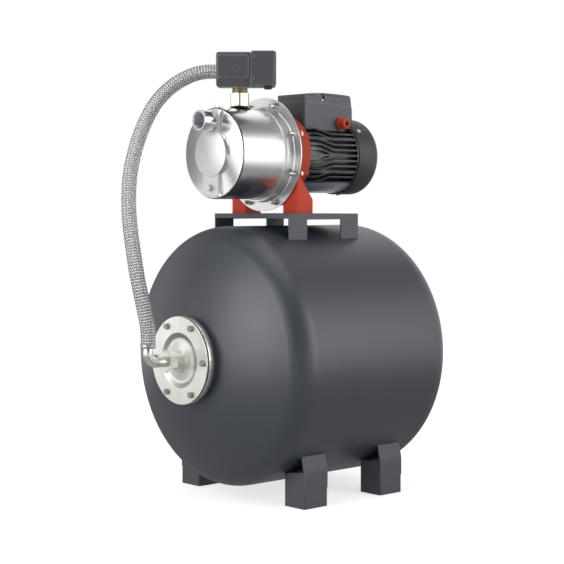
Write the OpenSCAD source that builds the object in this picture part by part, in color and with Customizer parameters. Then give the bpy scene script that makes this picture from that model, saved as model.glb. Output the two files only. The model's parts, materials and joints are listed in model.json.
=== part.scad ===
// Booster pump set: a jet pump with its motor, pressure switch and hose on a horizontal tank.
// Millimetres. X runs along the tank axis from the water flange to the air valve, Z is up.
// The origin lies on the floor, in the middle of the four bolt holes of the feet.

/* [Tank] */
// Outside radius of the tank
tank_r = 205; // [190:1:220]
// Length of the straight part of the tank
tank_straight = 258; // [220:1:300]
// Depth of each domed end
dish_depth = 85; // [70:1:100]
// Crown radius of a domed end as a share of that of an ellipse
crown_share = 0.77; // [0.72:0.01:0.85]
// Thickness of the tank's sheet steel
tank_wall = 2; // [1.5:0.1:3]
// Height of the tank's lowest point above the floor
floor_gap = 21; // [15:1:30]
// Thickness of the rubber bladder
bladder_wall = 2; // [1.5:0.1:3]

/* [Water flange] */
// Radius of the water flange
flange_r = 68; // [66:0.5:74]
// Thickness of the flange plate
flange_t = 2.5; // [2:0.1:4]
// Distance from the dome's tip to the front of the flange plate
flange_stand = 17; // [15:0.5:24]
// Thickness of the welded ring behind the plate
neck_ring_t = 8.5; // [6:0.1:10]
// Radius of the circle of flange bolts
flange_bolt_circle = 58.5; // [57:0.5:60]
// Number of flange bolts
flange_bolt_count = 6; // [4:1:8]
// Radius of the flange bolts
flange_bolt_r = 3; // [2.5:0.1:3.5]
// Outside radius of the pressed recess in the plate
recess_r = 43; // [41:0.5:45]
// Depth of the pressed recess
recess_depth = 3.5; // [2:0.1:4.5]
// Width of the recess's sloping side
recess_slope = 8.5; // [6:0.5:10]
// Radius of the threaded hub
hub_r = 13.8; // [12.5:0.1:15]
// Distance that the smooth hub stands in front of the plate
hub_len = 13.5; // [10:0.5:20]

/* [Feet] */
// Distance between the front and rear bolt holes
foot_pitch_x = 166; // [140:1:190]
// Distance from the tank's side in to the bolt holes, seen from above
foot_inset_y = 77.5; // [72:0.5:88]
// Length of a foot along the tank
foot_len = 49; // [40:1:60]
// Width of a foot across the tank
foot_w = 45.6; // [38:0.1:50]
// Height at which the outer wall of a foot bends inwards
foot_bend_z = 57; // [50:1:62]
// Distance that the bent wall leans in
foot_lean = 6.5; // [4:0.5:10]
// Thickness of the feet's sheet steel
foot_wall = 2.5; // [2:0.1:3.5]
// Radius of a foot's bolt hole
foot_hole_r = 5.25; // [4:0.05:6]

/* [Pump stand] */
// Height of the stand's plate above the top of the tank
stand_rise = 19.6; // [15:0.1:28]
// Where the stand begins along the tank
stand_x0 = -84.2; // [-90:0.1:-78]
// Where the stand ends along the tank
stand_x1 = 66.8; // [60:0.1:80]
// Width of the stand across the tank
stand_w = 181; // [176:1:190]
// Width of each of the stand's four legs
stand_leg_w = 38.3; // [30:0.1:42]
// Height of the folded edge along each side
stand_side_h = 9.2; // [7:0.1:12]
// Height of the folded edge at each end
stand_end_h = 7.5; // [5:0.1:9]
// Thickness of the stand's sheet steel
stand_t = 3; // [2:0.1:4]

/* [Pump casing] */
// Height of the pump's axis above the stand
pump_rise = 94; // [92:0.5:100]
// Front face of the casing
barrel_x0 = -161; // [-175:1:-150]
// Radius of the casing
barrel_r = 71.1; // [70:0.1:72]
// Thickness of the casing's stainless sheet
sheet = 1.5; // [1:0.1:2]
// Radius of the casing's front corner
barrel_corner = 3; // [2.5:0.1:5]
// Rise of the casing's domed front
front_rise = 2.5; // [1:0.1:3]
// Front end of the wider step behind the casing's bead
step_x0 = -73.3; // [-78:0.1:-70]
// Radius of that step
step_r = 74.8; // [74:0.1:76]
// Front of the casing's clamping rim
rim_x0 = -59.2; // [-61:0.1:-58]
// Radius of the clamping rim
rim_r = 90.7; // [89:0.1:93]
// Width of the pressed band down the front
band_w = 36; // [30:1:40]
// Height of the pressed band
band_h = 6; // [5:0.5:7.5]
// Radius of the pressed round bulge
bulge_r = 36.8; // [32:0.1:40]
// Height of the round bulge's edge above that of the band
bulge_step = 1.2; // [0.8:0.1:2]
// Rise of the bulge's domed face
bulge_rise = 4.5; // [3:0.1:6]
// Width of the sloping side round the band and the bulge
slope_w = 1.2; // [1:0.1:3]
// Number of studs round the rim
stud_count = 8; // [6:1:10]
// Radius of the circle of studs
stud_circle = 82; // [81:0.1:84]
// Radius of a stud
stud_r = 2.9; // [2.4:0.1:3.2]

/* [Ports] */
// Radius of the suction pipe
suction_r = 15.9; // [15.2:0.1:17]
// Radius of the suction bore
suction_bore_r = 13.2; // [12.2:0.1:13.6]
// Height of the suction pipe above the pump's axis
suction_rise = 50; // [48:0.5:52]
// Front end of the suction pipe
suction_x0 = -191; // [-200:1:-184]
// Place of the outlet along the casing
outlet_x = -107; // [-112:1:-102]
// Corner radius of the outlet's six-sided socket
outlet_hex_r = 16.6; // [15.8:0.1:18]
// Height of the outlet's socket above the casing
outlet_h = 24.2; // [22:0.1:26]
// Radius of the outlet's bore
outlet_bore_r = 12.2; // [11.8:0.1:12.8]
// Depth of the drain plug below the pump's axis
drain_drop = 53.5; // [50:0.5:56]
// Place of the priming plug along the casing
priming_x = -150; // [-152:0.5:-146]
// Radius of both plugs' threads
plug_r = 4.8; // [4:0.1:5.5]

/* [Pump bracket] */
// Back face of the bracket's round drum
drum_x1 = -13.8; // [-18:0.1:-8]
// Radius of the drum
drum_r = 64.6; // [63:0.1:66]
// Radius of the bracket's front flange between its ears
bracket_flange_r = 79; // [78:0.1:80]
// Radius of the ear round each stud
ear_r = 5.6; // [5.2:0.1:6]
// Distance from the middle to the inner side of each bracket foot
bracket_foot_y0 = 45; // [42:0.5:50]
// Distance from the middle to the outer side of each bracket foot
bracket_foot_y1 = 79.2; // [72:0.1:82]
// Back face of the bracket's feet
bracket_foot_x1 = -23.7; // [-28:0.1:-20]
// Height of the upright back face of each bracket foot
bracket_foot_h = 22.5; // [16:0.5:30]
// Height of the foot at the front of its sloping top
bracket_slope_h = 56; // [45:0.5:62]

/* [Motor] */
// Radius over the motor's fins
motor_r = 61.4; // [60:0.1:62]
// Radius of the motor's tube under the fins
motor_core_r = 53; // [52.5:0.1:55]
// Bore of the motor's tube
motor_bore_r = 47.5; // [46:0.1:48.5]
// Back end of the motor's tube
motor_x1 = 96; // [92:0.5:97]
// Distance between fins
fin_pitch = 8.7; // [8.2:0.1:9.2]
// Thickness of a fin
fin_t = 2.2; // [1.6:0.1:2.8]
// Number of fins above the middle one, and below it
fin_side_count = 5; // [4:1:5]
// Where the fins begin to bend
fin_bend_x0 = 14; // [8:1:22]
// Where the fins run straight again
fin_bend_x1 = 43; // [36:1:52]
// Radius of the air gap in the motor
air_gap_r = 27.3; // [25:0.1:30]
// Radius of the motor's shaft in its bearings
shaft_r = 7.5; // [7:0.1:8]
// Front edge of the fan cover
fan_cover_x0 = 98.6; // [98:0.1:100]
// Back face of the fan cover
fan_cover_x1 = 148.2; // [144:0.1:156]
// Radius of the fan cover
fan_cover_r = 62.8; // [62.5:0.1:64]
// Radius of the cover's rounded back edge
fan_cover_round = 14; // [8:0.5:18]
// Number of fan blades
fan_blades = 7; // [5:1:9]

/* [Terminal box] */
// Length of the terminal box
box_len = 104; // [100:1:108]
// Width of the terminal box
box_w = 66; // [62:1:70]
// Height of the lid's joint above the motor's axis at the front
box_split_h = 87; // [84:0.5:90]
// Height of the lid's crown above the motor's axis
box_top_h = 102.5; // [98:0.5:106]
// Radius of the box's upright corners
box_round = 6; // [4:0.5:8]
// Place of the lid's screws behind the front of the box
lid_screw_x = 44; // [30:1:60]
// Place of the cable gland behind the front of the box
gland_x = 81.8; // [76:0.1:86]
// Height of the cable gland above the motor's axis
gland_rise = 53; // [52:0.1:56]
// Radius of the cable gland
gland_r = 10.3; // [9:0.1:11]
// Radius of the hole for the cable
cable_r = 4.5; // [3:0.1:5]

/* [Pressure switch] */
// Turn of the manifold and the switch about the outlet, in degrees
switch_turn = 42.24; // [30:0.01:55]
// Height of the hose port and the switch port above the pump's axis
port_rise = 129.4; // [126:0.1:132]
// Width of the switch to the left of the outlet
switch_left = 35; // [34:0.5:40]
// Width of the switch to the right of the outlet
switch_right = 57.6; // [54:0.1:60]
// Depth of the housing below the port
switch_below = 28.6; // [28:0.1:32]
// Height of the housing above the port
switch_above = 25.4; // [24:0.1:28]
// Depth of the raised panel's lower edge below the port
panel_below = 15; // [12:0.5:18]
// Height of the raised panel's upper edge above the port
panel_above = 20.6; // [18:0.1:23]
// Width of the raised panel to the right of the outlet
panel_right = 16.3; // [14:0.1:18]
// Distance from the outlet to the back of the switch
switch_d0 = 22; // [21:0.5:26]
// Distance from the outlet to the front of the switch
switch_d1 = 66; // [64:0.5:72]
// Wall of the switch's housing
switch_wall = 2; // [1.5:0.1:2.5]

/* [Hose] */
// Radius of the braided hose
hose_r = 11.6; // [9:0.1:12]
// Radius of the bent tube at the hose's lower end
elbow_r = 7.6; // [7:0.1:9]
// Bend radius of that tube
elbow_bend_r = 14; // [12:0.5:18]

/* [Hidden] */
$fn = 64;
// Gap left at welded and seated curved faces
seat = 0.1;
// Gap between parts that move on each other
play = 0.3;
// Radial gap of a turning shaft in its bearing
run = 0.04;
// Overlap of a cut past the face that it opens
over = 1;

tank_z = floor_gap + tank_r;
foot_pitch_y = 2 * (tank_r - foot_inset_y);
tank_top = tank_z + tank_r;
tank_half = tank_straight / 2;
tank_end = tank_half + dish_depth;
dish_crown = crown_share * tank_r * tank_r / dish_depth;
dish_knuckle = (2 * dish_crown * dish_depth - dish_depth * dish_depth - tank_r * tank_r)
    / (2 * (dish_crown - tank_r));
flange_x = -tank_end - flange_stand;
neck_x = flange_x + flange_t + bladder_wall;
neck_bore_r = recess_r + bladder_wall + 1.5;
nut_len = 14;
nut_x = flange_x - hub_len - nut_len;
hub_thread_r = hub_r - 1.6;

stand_z = tank_top + stand_rise;
stand_y = stand_w / 2;
pump_z = stand_z + pump_rise;
rim_x1 = rim_x0 + sheet;
cover_t = 2;
cover_x1 = rim_x1 + cover_t;
bracket_t = 6.5;
bracket_x1 = cover_x1 + bracket_t;
relief_r = barrel_r - barrel_corner;
front_crown_r = crown_radius(relief_r, front_rise);
bulge_crown_r = crown_radius(bulge_r, bulge_rise);
bulge_h = band_h + bulge_step + bulge_rise;
suction_x1 = barrel_x0 - band_h + sheet + 6;
suction_z = pump_z + suction_rise;
barrel_top = pump_z + barrel_r;
outlet_top = barrel_top + outlet_h;
socket_base_h = 4.6;
plug_head_r = 6.2;

lug_angle = 28;
lug_r = 61;
lug_body_r = 6.3;
tie_r = 2.4;
tie_circle = 56;
tie_boss_r = 4.4;
bearing_r = 17.5;
bearing_w = 11;
front_bearing_x = bracket_x1 + 8;
rear_bearing_x = motor_x1 - 6;
shield_t = 7;
fin_top = fin_side_count * fin_pitch;
box_x0 = 0;
box_x1 = box_x0 + box_len;
stack_x0 = 14;
stack_x1 = 74;
screw_angle = 40.5;

port_z = pump_z + port_rise;
manifold_r = 15.4;
manifold_top = port_z + 21;
switch_z0 = port_z - switch_below;
switch_z1 = port_z + switch_above;
block_z0 = switch_z0 + 1.8;
block_z1 = switch_z1 + 1.5;
panel_z0 = port_z - panel_below;
panel_z1 = port_z + panel_above;
split_d = 44;
plunger_lift = 1;
lever_arm = 22;

// Centre line of the hose, from the manifold down to the bent tube
hose_route = [
    [-132, 23, 674], [-143, 33, 674], [-156, 44, 671.5], [-168.5, 54.5, 665.5],
    [-182, 64, 656.5], [-197.5, 73.5, 642], [-213, 80, 623], [-229.5, 81.5, 598],
    [-246, 79, 569], [-260.5, 73.5, 540], [-273.5, 65.5, 511], [-283.5, 55.5, 482],
    [-291.5, 44.5, 454], [-297.5, 32.5, 425], [-301, 21, 394], [-302.5, 11, 362],
    [-300.5, 4, 332], [-295.8, 0.5, 304], [-291.6, 0, 284], [-290, 0, 268], [-290, 0, 255]
];
hose_sides = 12;
hose_end = hose_route[len(hose_route) - 1];
ferrule_len = 6;

function crown_radius(r, rise) = (r * r + rise * rise) / (2 * rise);
function tank_z_at(y) = tank_z - sqrt(tank_r * tank_r - y * y);

// Helpers

module on_x(x) {
    translate([x, 0, 0]) rotate([0, 90, 0]) children();
}

module rod_x(x0, x1, r) {
    on_x(x0) cylinder(h = x1 - x0, r = r);
}

module hex_x(x0, x1, flats) {
    on_x(x0) cylinder(h = x1 - x0, r = flats / 2 / cos(30), $fn = 6);
}

module ring_x(x0, x1, outer, inner) {
    difference() {
        rod_x(x0, x1, outer);
        rod_x(x0 - over, x1 + over, inner);
    }
}

module turned_x() {
    rotate([0, 90, 0]) rotate_extrude() children();
}

module around_x(count, circle_r, start) {
    for (i = [0 : count - 1])
        rotate([start + i * 360 / count, 0, 0]) translate([0, 0, circle_r]) children();
}

module at_pump() {
    translate([0, 0, pump_z]) children();
}

module at_tank() {
    translate([0, 0, tank_z]) children();
}

// The outlet's own frame: -Y is the front of the switch and -X the side of the hose
module at_outlet() {
    translate([outlet_x, 0, 0]) rotate([0, 0, -switch_turn]) children();
}

module round_rect(w, h, r) {
    translate([r, 0]) square([w - 2 * r, h]);
    translate([0, r]) square([w, h - 2 * r]);
    for (x = [r, w - r])
        for (y = [r, h - r])
            translate([x, y]) circle(r);
}

function unit(v) = v / norm(v);
function path_dir(p, i) = unit(p[min(i + 1, len(p) - 1)] - p[max(i - 1, 0)]);

// Each ring's frame is turned by the least angle from that of the ring before
function ring_side(p, i) = i == 0 ? unit(cross(path_dir(p, 0), [0, 0, 1]))
    : let (d = path_dir(p, i), s = ring_side(p, i - 1)) unit(s - d * (s * d));

function ring_points(p, i, r, n) = let (d = path_dir(p, i), s = ring_side(p, i), t = cross(d, s))
    [for (k = [0 : n - 1]) p[i] + r * (s * cos(k * 360 / n) + t * sin(k * 360 / n))];

module swept_tube(path, r, n) {
    count = len(path);
    points = [for (i = [0 : count - 1]) each ring_points(path, i, r, n)];
    sides = [for (i = [0 : count - 2], k = [0 : n - 1])
        let (a = i * n + k, b = i * n + (k + 1) % n) [a, a + n, b + n, b]];
    first = [for (k = [0 : n - 1]) k];
    last = [for (k = [n - 1 : -1 : 0]) (count - 1) * n + k];
    polyhedron(points, concat(sides, [first, last]));
}

// Tank

module dish_half(r, half, depth, crown, knuckle) {
    middle = half + depth - crown;
    lean = atan2(r - knuckle, half - middle);
    square([r, half]);
    translate([r - knuckle, half]) circle(knuckle);
    intersection() {
        translate([0, middle]) circle(crown, $fn = 180);
        polygon([[0, middle], [crown * tan(lean), middle + crown], [0, middle + crown]]);
    }
}

module tank_half_profile(inset) {
    intersection() {
        dish_half(tank_r - inset, tank_half, dish_depth - inset, dish_crown - inset,
            dish_knuckle - inset);
        square([tank_r, tank_end]);
    }
}

module tank_body(inset) {
    turned_x() {
        tank_half_profile(inset);
        mirror([0, 1]) tank_half_profile(inset);
    }
}

module tank_shell() {
    color("dimgray") at_tank() difference() {
        tank_body(0, $fn = 128);
        tank_body(tank_wall, $fn = 128);
        rod_x(-tank_end - over, -tank_half, neck_bore_r);
        rod_x(tank_half, tank_end + over, valve_r + seat);
    }
}

module tank_neck_ring() {
    color("silver") at_tank() difference() {
        union() {
            rod_x(neck_x, neck_x + neck_ring_t, flange_r);
            rod_x(neck_x, -tank_half, flange_r - 8);
        }
        rod_x(neck_x - over, 0, neck_bore_r);
        tank_body(-seat);
        around_x(flange_bolt_count, flange_bolt_circle, 30)
            rod_x(neck_x - over, neck_x + neck_ring_t - 0.5, flange_bolt_r + seat);
    }
}

bladder_r = 150;
bladder_shift = 26;

module bladder_form(inset) {
    turned_x() difference() {
        union() {
            for (x = [-bladder_shift, bladder_shift])
                translate([0, x]) circle(bladder_r - inset);
            translate([0, -bladder_shift]) square([bladder_r - inset, 2 * bladder_shift]);
            translate([0, flange_x]) square([neck_bore_r - 1 - inset, -flange_x]);
        }
        translate([-2 * bladder_r, -2 * bladder_r]) square([2 * bladder_r, 4 * bladder_r]);
    }
}

module tank_bladder() {
    color("black") at_tank() difference() {
        union() {
            intersection() {
                bladder_form(0);
                rod_x(flange_x + flange_t, tank_end, bladder_r + over);
            }
            rod_x(flange_x + flange_t, neck_x, flange_bolt_circle - flange_bolt_r - 2);
        }
        bladder_form(bladder_wall);
    }
}

module flange_plate_profile() {
    cone_r = hub_r + 2;
    front = flange_x;
    floor_x = front + recess_depth;
    polygon([
        [flange_r, front], [flange_r, front + flange_t],
        [recess_r, front + flange_t], [recess_r - recess_slope, floor_x + flange_t],
        [cone_r, front + flange_t + 1], [hub_thread_r - 2, front + flange_t + 1],
        [hub_thread_r - 2, nut_x + 5], [hub_thread_r, nut_x + 5],
        [hub_thread_r, front - hub_len], [hub_r, front - hub_len],
        [hub_r, front - 1.5], [cone_r, front - 1.5], [cone_r, front + 1],
        [recess_r - recess_slope, floor_x], [recess_r, front]
    ]);
}

module tank_flange() {
    color("gainsboro") at_tank() difference() {
        turned_x() flange_plate_profile();
        around_x(flange_bolt_count, flange_bolt_circle, 30)
            rod_x(flange_x - over, flange_x + flange_t + over, flange_bolt_r + seat);
    }
}

module flange_bolts() {
    head_h = 3.6;
    flats = 9;
    color("darkgray") at_tank() around_x(flange_bolt_count, flange_bolt_circle, 30) {
        hex_x(flange_x - head_h, flange_x, flats);
        rod_x(flange_x - 0.01, neck_x + neck_ring_t - 1, flange_bolt_r);
    }
}

// Feet: side is -1 for the left and 1 for the right, seen from the water flange

fold_r = 45;
fold_steps = 6;

// The first steps of the arc in which the outer wall of a foot bends inwards
function foot_fold(out_y, lean, count) = [for (k = [0 : count]) let (a = lean * k / fold_steps)
    [out_y - fold_r * (1 - cos(a)), foot_bend_z + fold_r * (sin(a) - tan(lean / 2))]];

module foot(end, side) {
    mid_y = foot_pitch_y / 2;
    in_y = mid_y - foot_w / 2;
    out_y = mid_y + foot_w / 2;
    tip_y = out_y - foot_lean;
    tip_z = tank_z_at(tip_y) + 3;
    lean = atan2(foot_lean, tip_z - foot_bend_z);
    bend_r = foot_wall;
    color("dimgray") difference() {
        union() {
            intersection() {
                translate([end * foot_pitch_x / 2, side * mid_y, 0]) difference() {
                    linear_extrude(foot_bend_z + over) translate([-foot_len / 2, -foot_w / 2])
                        round_rect(foot_len, foot_w, bend_r);
                    translate([0, 0, foot_wall]) linear_extrude(foot_bend_z + 2 * over)
                        translate([foot_wall - foot_len / 2, foot_wall - foot_w / 2])
                            square([foot_len - 2 * foot_wall, foot_w - 2 * foot_wall]);
                    translate([0, 0, -over]) cylinder(h = foot_wall + 2 * over, r = foot_hole_r);
                }
                foot_side_cut(end, side, in_y, out_y, lean);
            }
            foot_bent_wall(end, side, out_y, tip_y, tip_z, lean);
        }
        at_tank() rod_x(-tank_end, tank_end, tank_r + seat);
    }
}

module foot_across(end, side, length) {
    translate([end * foot_pitch_x / 2 - length / 2, 0, 0]) rotate([90, 0, 90])
        linear_extrude(length) scale([side, 1]) children();
}

module foot_side_cut(end, side, in_y, out_y, lean) {
    foot_across(end, side, foot_len)
        polygon(concat([[in_y, 0], [out_y, 0]], foot_fold(out_y, lean, fold_steps / 2),
            [[in_y, tank_z_at(in_y) + 1]]));
}

module foot_bent_wall(end, side, out_y, tip_y, tip_z, lean) {
    outer = concat([[out_y, foot_bend_z / 2]], foot_fold(out_y, lean, fold_steps),
        [[tip_y, tip_z]]);
    inner = [for (k = [len(outer) - 1 : -1 : 0]) outer[k] - [foot_wall, 0]];
    foot_across(end, side, foot_len) polygon(concat(outer, inner));
}

module front_left_foot() {
    foot(-1, -1);
}

module front_right_foot() {
    foot(-1, 1);
}

module rear_left_foot() {
    foot(1, -1);
}

module rear_right_foot() {
    foot(1, 1);
}

// Air valve on the rear dome

valve_r = 4;
valve_len = 20;
valve_pin_r = 1.2;
cap_len = 15;

module air_valve_stem() {
    base_r = 9;
    base_t = 2.5;
    color("goldenrod") at_tank() difference() {
        union() {
            difference() {
                rod_x(tank_end - 3, tank_end + base_t, base_r);
                tank_body(-seat);
            }
            rod_x(tank_end - 12, tank_end + valve_len, valve_r);
        }
        rod_x(tank_end - 13, tank_end + valve_len + over, valve_pin_r + play);
    }
}

module air_valve_pin() {
    color("silver") at_tank() rod_x(tank_end, tank_end + valve_len - 0.4, valve_pin_r);
}

module air_valve_cap() {
    wall = 1.6;
    x1 = tank_end + valve_len + wall + play;
    color("black") at_tank() difference() {
        rod_x(x1 - cap_len, x1, valve_r + play + wall);
        rod_x(x1 - cap_len - over, x1 - wall, valve_r + play);
    }
}

// Pump stand

module stand_end_plate(x) {
    translate([x, -stand_y, stand_z - stand_end_h]) cube([stand_t, stand_w, stand_end_h]);
}

module stand_side_plate(y) {
    leg_h = stand_z - tank_z;
    translate([stand_x0, y, stand_z - stand_side_h])
        cube([stand_x1 - stand_x0, stand_t, stand_side_h]);
    for (x = [stand_x0, stand_x1 - stand_leg_w])
        translate([x, y, stand_z - leg_h]) cube([stand_leg_w, stand_t, leg_h]);
}

module at_bracket_bolts() {
    mid_x = (rim_x1 + bracket_foot_x1) / 2;
    mid_y = (bracket_foot_y0 + bracket_foot_y1) / 2;
    for (side = [-1, 1])
        translate([mid_x, side * mid_y, stand_z]) children();
}

module pump_stand() {
    color("dimgray") difference() {
        union() {
            translate([stand_x0, -stand_y, stand_z - stand_t])
                cube([stand_x1 - stand_x0, stand_w, stand_t]);
            stand_end_plate(stand_x0);
            stand_end_plate(stand_x1 - stand_t);
            stand_side_plate(-stand_y);
            stand_side_plate(stand_y - stand_t);
        }
        at_tank() rod_x(-tank_end, tank_end, tank_r + seat);
        at_bracket_bolts() translate([0, 0, -stand_t - over])
            cylinder(h = stand_t + 2 * over, r = stand_bolt_r + 0.4);
    }
}

stand_bolt_r = 4;

module stand_bolts() {
    head_h = 5.3;
    flats = 13;
    grip = 16;
    color("darkgray") at_bracket_bolts() {
        translate([0, 0, -stand_t - head_h])
            cylinder(h = head_h, r = flats / 2 / cos(30), $fn = 6);
        translate([0, 0, -stand_t - 0.01]) cylinder(h = stand_t + grip, r = stand_bolt_r);
    }
}

// Pump casing: a drawn cup with a pressed band and a round bulge on its front

module casing_profile(inset) {
    r = barrel_r - inset;
    front = barrel_x0 + inset;
    corner = barrel_corner - inset;
    rear = inset > 0 ? rim_x1 + over : rim_x1;
    bead_r = 1.4;
    flare = 1.8;
    translate([0, front + corner]) square([r, step_x0 - front]);
    intersection() {
        translate([0, barrel_x0 - front_rise + front_crown_r])
            circle(front_crown_r - inset, $fn = 360);
        translate([0, front - bulge_h]) square([relief_r, bulge_h + corner + over]);
    }
    translate([relief_r, front + corner]) circle(corner);
    translate([0, step_x0 + inset]) square([step_r - inset, rear - step_x0 - inset]);
    if (inset == 0) {
        translate([barrel_r, step_x0 - 0.6]) circle(bead_r);
        translate([0, rim_x0]) square([rim_r, rim_x1 - rim_x0]);
        difference() {
            translate([step_r - over, rim_x0 - flare]) square([flare + over, flare + 0.1]);
            translate([step_r + flare, rim_x0 - flare]) circle(flare);
        }
    }
}

module band_form(inset) {
    half = band_w / 2 - inset;
    back = barrel_x0 + barrel_corner;
    front = barrel_x0 - band_h + inset;
    wide = half + slope_w;
    intersection() {
        translate([0, 0, -barrel_r]) linear_extrude(2 * barrel_r)
            polygon([
                [front, -half], [front, half], [barrel_x0 + inset, wide], [back, wide],
                [back, -wide], [barrel_x0 + inset, -wide]
            ]);
        rod_x(front - over, back + over, relief_r - inset);
    }
}

module bulge_form(inset) {
    front = barrel_x0 - bulge_h + inset;
    edge_x = front + bulge_rise;
    back = barrel_x0 + barrel_corner;
    r = bulge_r - inset;
    turned_x() intersection() {
        translate([0, barrel_x0 - bulge_h + bulge_crown_r])
            circle(bulge_crown_r - inset, $fn = 360);
        polygon([
            [0, front - over], [r, front - over], [r, edge_x],
            [r + slope_w, barrel_x0 + inset], [r + slope_w, back], [0, back]
        ]);
    }
}

module casing_form(inset) {
    turned_x() casing_profile(inset, $fn = 128);
    band_form(inset);
    bulge_form(inset);
}

module pump_casing() {
    color("lightgray") at_pump() difference() {
        casing_form(0);
        casing_form(sheet);
        translate([0, 0, suction_rise]) rod_x(suction_x0, barrel_x0 + band_h, suction_r + seat);
        translate([0, 0, -drain_drop]) rod_x(suction_x0, barrel_x0 + band_h, plug_r + play);
        translate([outlet_x, 0, 0]) cylinder(h = barrel_r + over, r = outlet_bore_r);
        translate([priming_x, 0, 0]) cylinder(h = barrel_r + over, r = plug_r + play);
        around_x(stud_count, stud_circle, 180 / stud_count)
            rod_x(rim_x0 - over, rim_x1 + over, stud_r + seat);
    }
}

module suction_pipe() {
    color("lightgray") translate([0, 0, suction_z])
        ring_x(suction_x0, suction_x1, suction_r, suction_bore_r);
}

module outlet_socket() {
    base_r = 20;
    color("lightgray") translate([outlet_x, 0, 0]) difference() {
        union() {
            translate([0, 0, barrel_top + socket_base_h - 0.01]) rotate([0, 0, -switch_turn])
                rotate([0, 0, 30])
                    cylinder(h = outlet_h - socket_base_h, r = outlet_hex_r, $fn = 6);
            translate([0, 0, barrel_top - 5])
                cylinder(h = socket_base_h + 5, r1 = base_r, r2 = outlet_hex_r * cos(30));
        }
        translate([0, 0, pump_z]) cylinder(h = barrel_r + outlet_h + over, r = outlet_bore_r);
        translate([-outlet_x, 0, pump_z]) rod_x(barrel_x0, step_x0 + over, barrel_r + seat);
    }
}

// Round-shanked screw plug with a head that a spanner fits, drawn pointing up
module screw_plug(head_h, shank, flats) {
    translate([0, 0, -shank]) cylinder(h = shank + 0.01, r = plug_r);
    cylinder(h = 1.6, r = plug_head_r);
    cylinder(h = head_h, r = flats / 2 / cos(30), $fn = 6);
}

module priming_plug() {
    color("darkgray") translate([priming_x, 0, barrel_top + play]) screw_plug(7, 6, 9);
}

module drain_plug() {
    color("darkgray")
        translate([barrel_x0 - band_h - play, 0, pump_z - drain_drop]) rotate([0, -90, 0])
            screw_plug(6, 6, 9);
}

module casing_studs() {
    nut_h = 5;
    nut_flats = 9;
    tip = 7;
    head_h = 4;
    color("silver") at_pump() around_x(stud_count, stud_circle, 180 / stud_count) {
        rod_x(rim_x0 - nut_h - tip, bracket_x1 + 0.01, stud_r);
        hex_x(rim_x0 - nut_h, rim_x0, nut_flats);
        hex_x(bracket_x1, bracket_x1 + head_h, nut_flats);
    }
}

// Outline shared by the seal plate and the bracket: a disc with an ear round each stud
module eared_disc(x0, x1) {
    rod_x(x0, x1, bracket_flange_r);
    around_x(stud_count, stud_circle, 180 / stud_count) rod_x(x0, x1, ear_r);
}

// Pump inside

o_ring_room = 4.3;
spigot_r = step_r - sheet - o_ring_room;
o_ring_r = (o_ring_room - seat) / 2;

module casing_o_ring() {
    color("black") at_pump() turned_x()
        translate([spigot_r + seat / 2 + o_ring_r, rim_x1 - o_ring_r]) circle(o_ring_r);
}

seat_bore_r = 12;
spigot_len = 7;
neck_shaft_r = 6;

module seal_plate() {
    color("silver") at_pump() difference() {
        union() {
            eared_disc(rim_x1, cover_x1);
            rod_x(rim_x1 - spigot_len, rim_x1 + 0.01, spigot_r);
        }
        rod_x(rim_x1 - spigot_len - over, rim_x1 - 1, seat_bore_r);
        rod_x(rim_x1 - 2, cover_x1 + over, neck_shaft_r + 2);
        ring_x(rim_x1 - 3, cover_x1 + over, spigot_r - 5, seat_bore_r + 5);
        around_x(stud_count, stud_circle, 180 / stud_count)
            rod_x(rim_x1 - over, cover_x1 + over, stud_r + seat);
    }
}

// The diffuser goes in through both widths of the casing
diffuser_gap = 3.6;
diffuser_r = min(barrel_r, step_r) - sheet - diffuser_gap;
diffuser_len = 36;
diffuser_x1 = rim_x1 - spigot_len;
diffuser_x0 = diffuser_x1 - diffuser_len;
eye_r = 16;

module diffuser() {
    wall = 3;
    color("black") at_pump() difference() {
        union() {
            rod_x(diffuser_x0, diffuser_x1, diffuser_r);
            rod_x(diffuser_x0 - 10, diffuser_x0 + over, eye_r + 4);
        }
        rod_x(diffuser_x0 + wall, diffuser_x1 + over, diffuser_r - wall);
        rod_x(diffuser_x0 - 11, diffuser_x0 + wall + over, eye_r);
        around_x(6, diffuser_r - wall - 5, 0)
            rod_x(diffuser_x0 - over, diffuser_x0 + wall + over, 4);
    }
}

ejector_x1 = diffuser_x0 - 10.2;
ejector_r = 20;
ejector_x0 = barrel_x0 - bulge_h + bulge_crown_r + seat
    - sqrt(pow(bulge_crown_r - sheet, 2) - ejector_r * ejector_r);

module ejector() {
    throat_r = 6;
    mouth_r = 13;
    color("black") at_pump() difference() {
        turned_x() polygon([
            [0, ejector_x0], [ejector_r, ejector_x0], [ejector_r, ejector_x0 + 14],
            [throat_r + 4, ejector_x0 + 22], [mouth_r + 5, ejector_x1], [0, ejector_x1]
        ]);
        turned_x() polygon([
            [0, ejector_x0 + 6], [throat_r, ejector_x0 + 6], [throat_r, ejector_x0 + 24],
            [mouth_r, ejector_x1 + 0.1], [0, ejector_x1 + 0.1]
        ]);
    }
}

impeller_r = diffuser_r - 12;
impeller_x0 = diffuser_x0 + 5;
impeller_w = 12;
vane_count = 6;

module impeller_vane() {
    bend_r = 34;
    thick = 2;
    linear_extrude(impeller_w - 3) intersection() {
        translate([bend_r, 12]) difference() {
            circle(bend_r + thick / 2);
            circle(bend_r - thick / 2);
        }
        difference() {
            circle(impeller_r - 1);
            circle(13);
        }
        translate([-20, -60]) square([60, 60]);
    }
}

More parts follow.
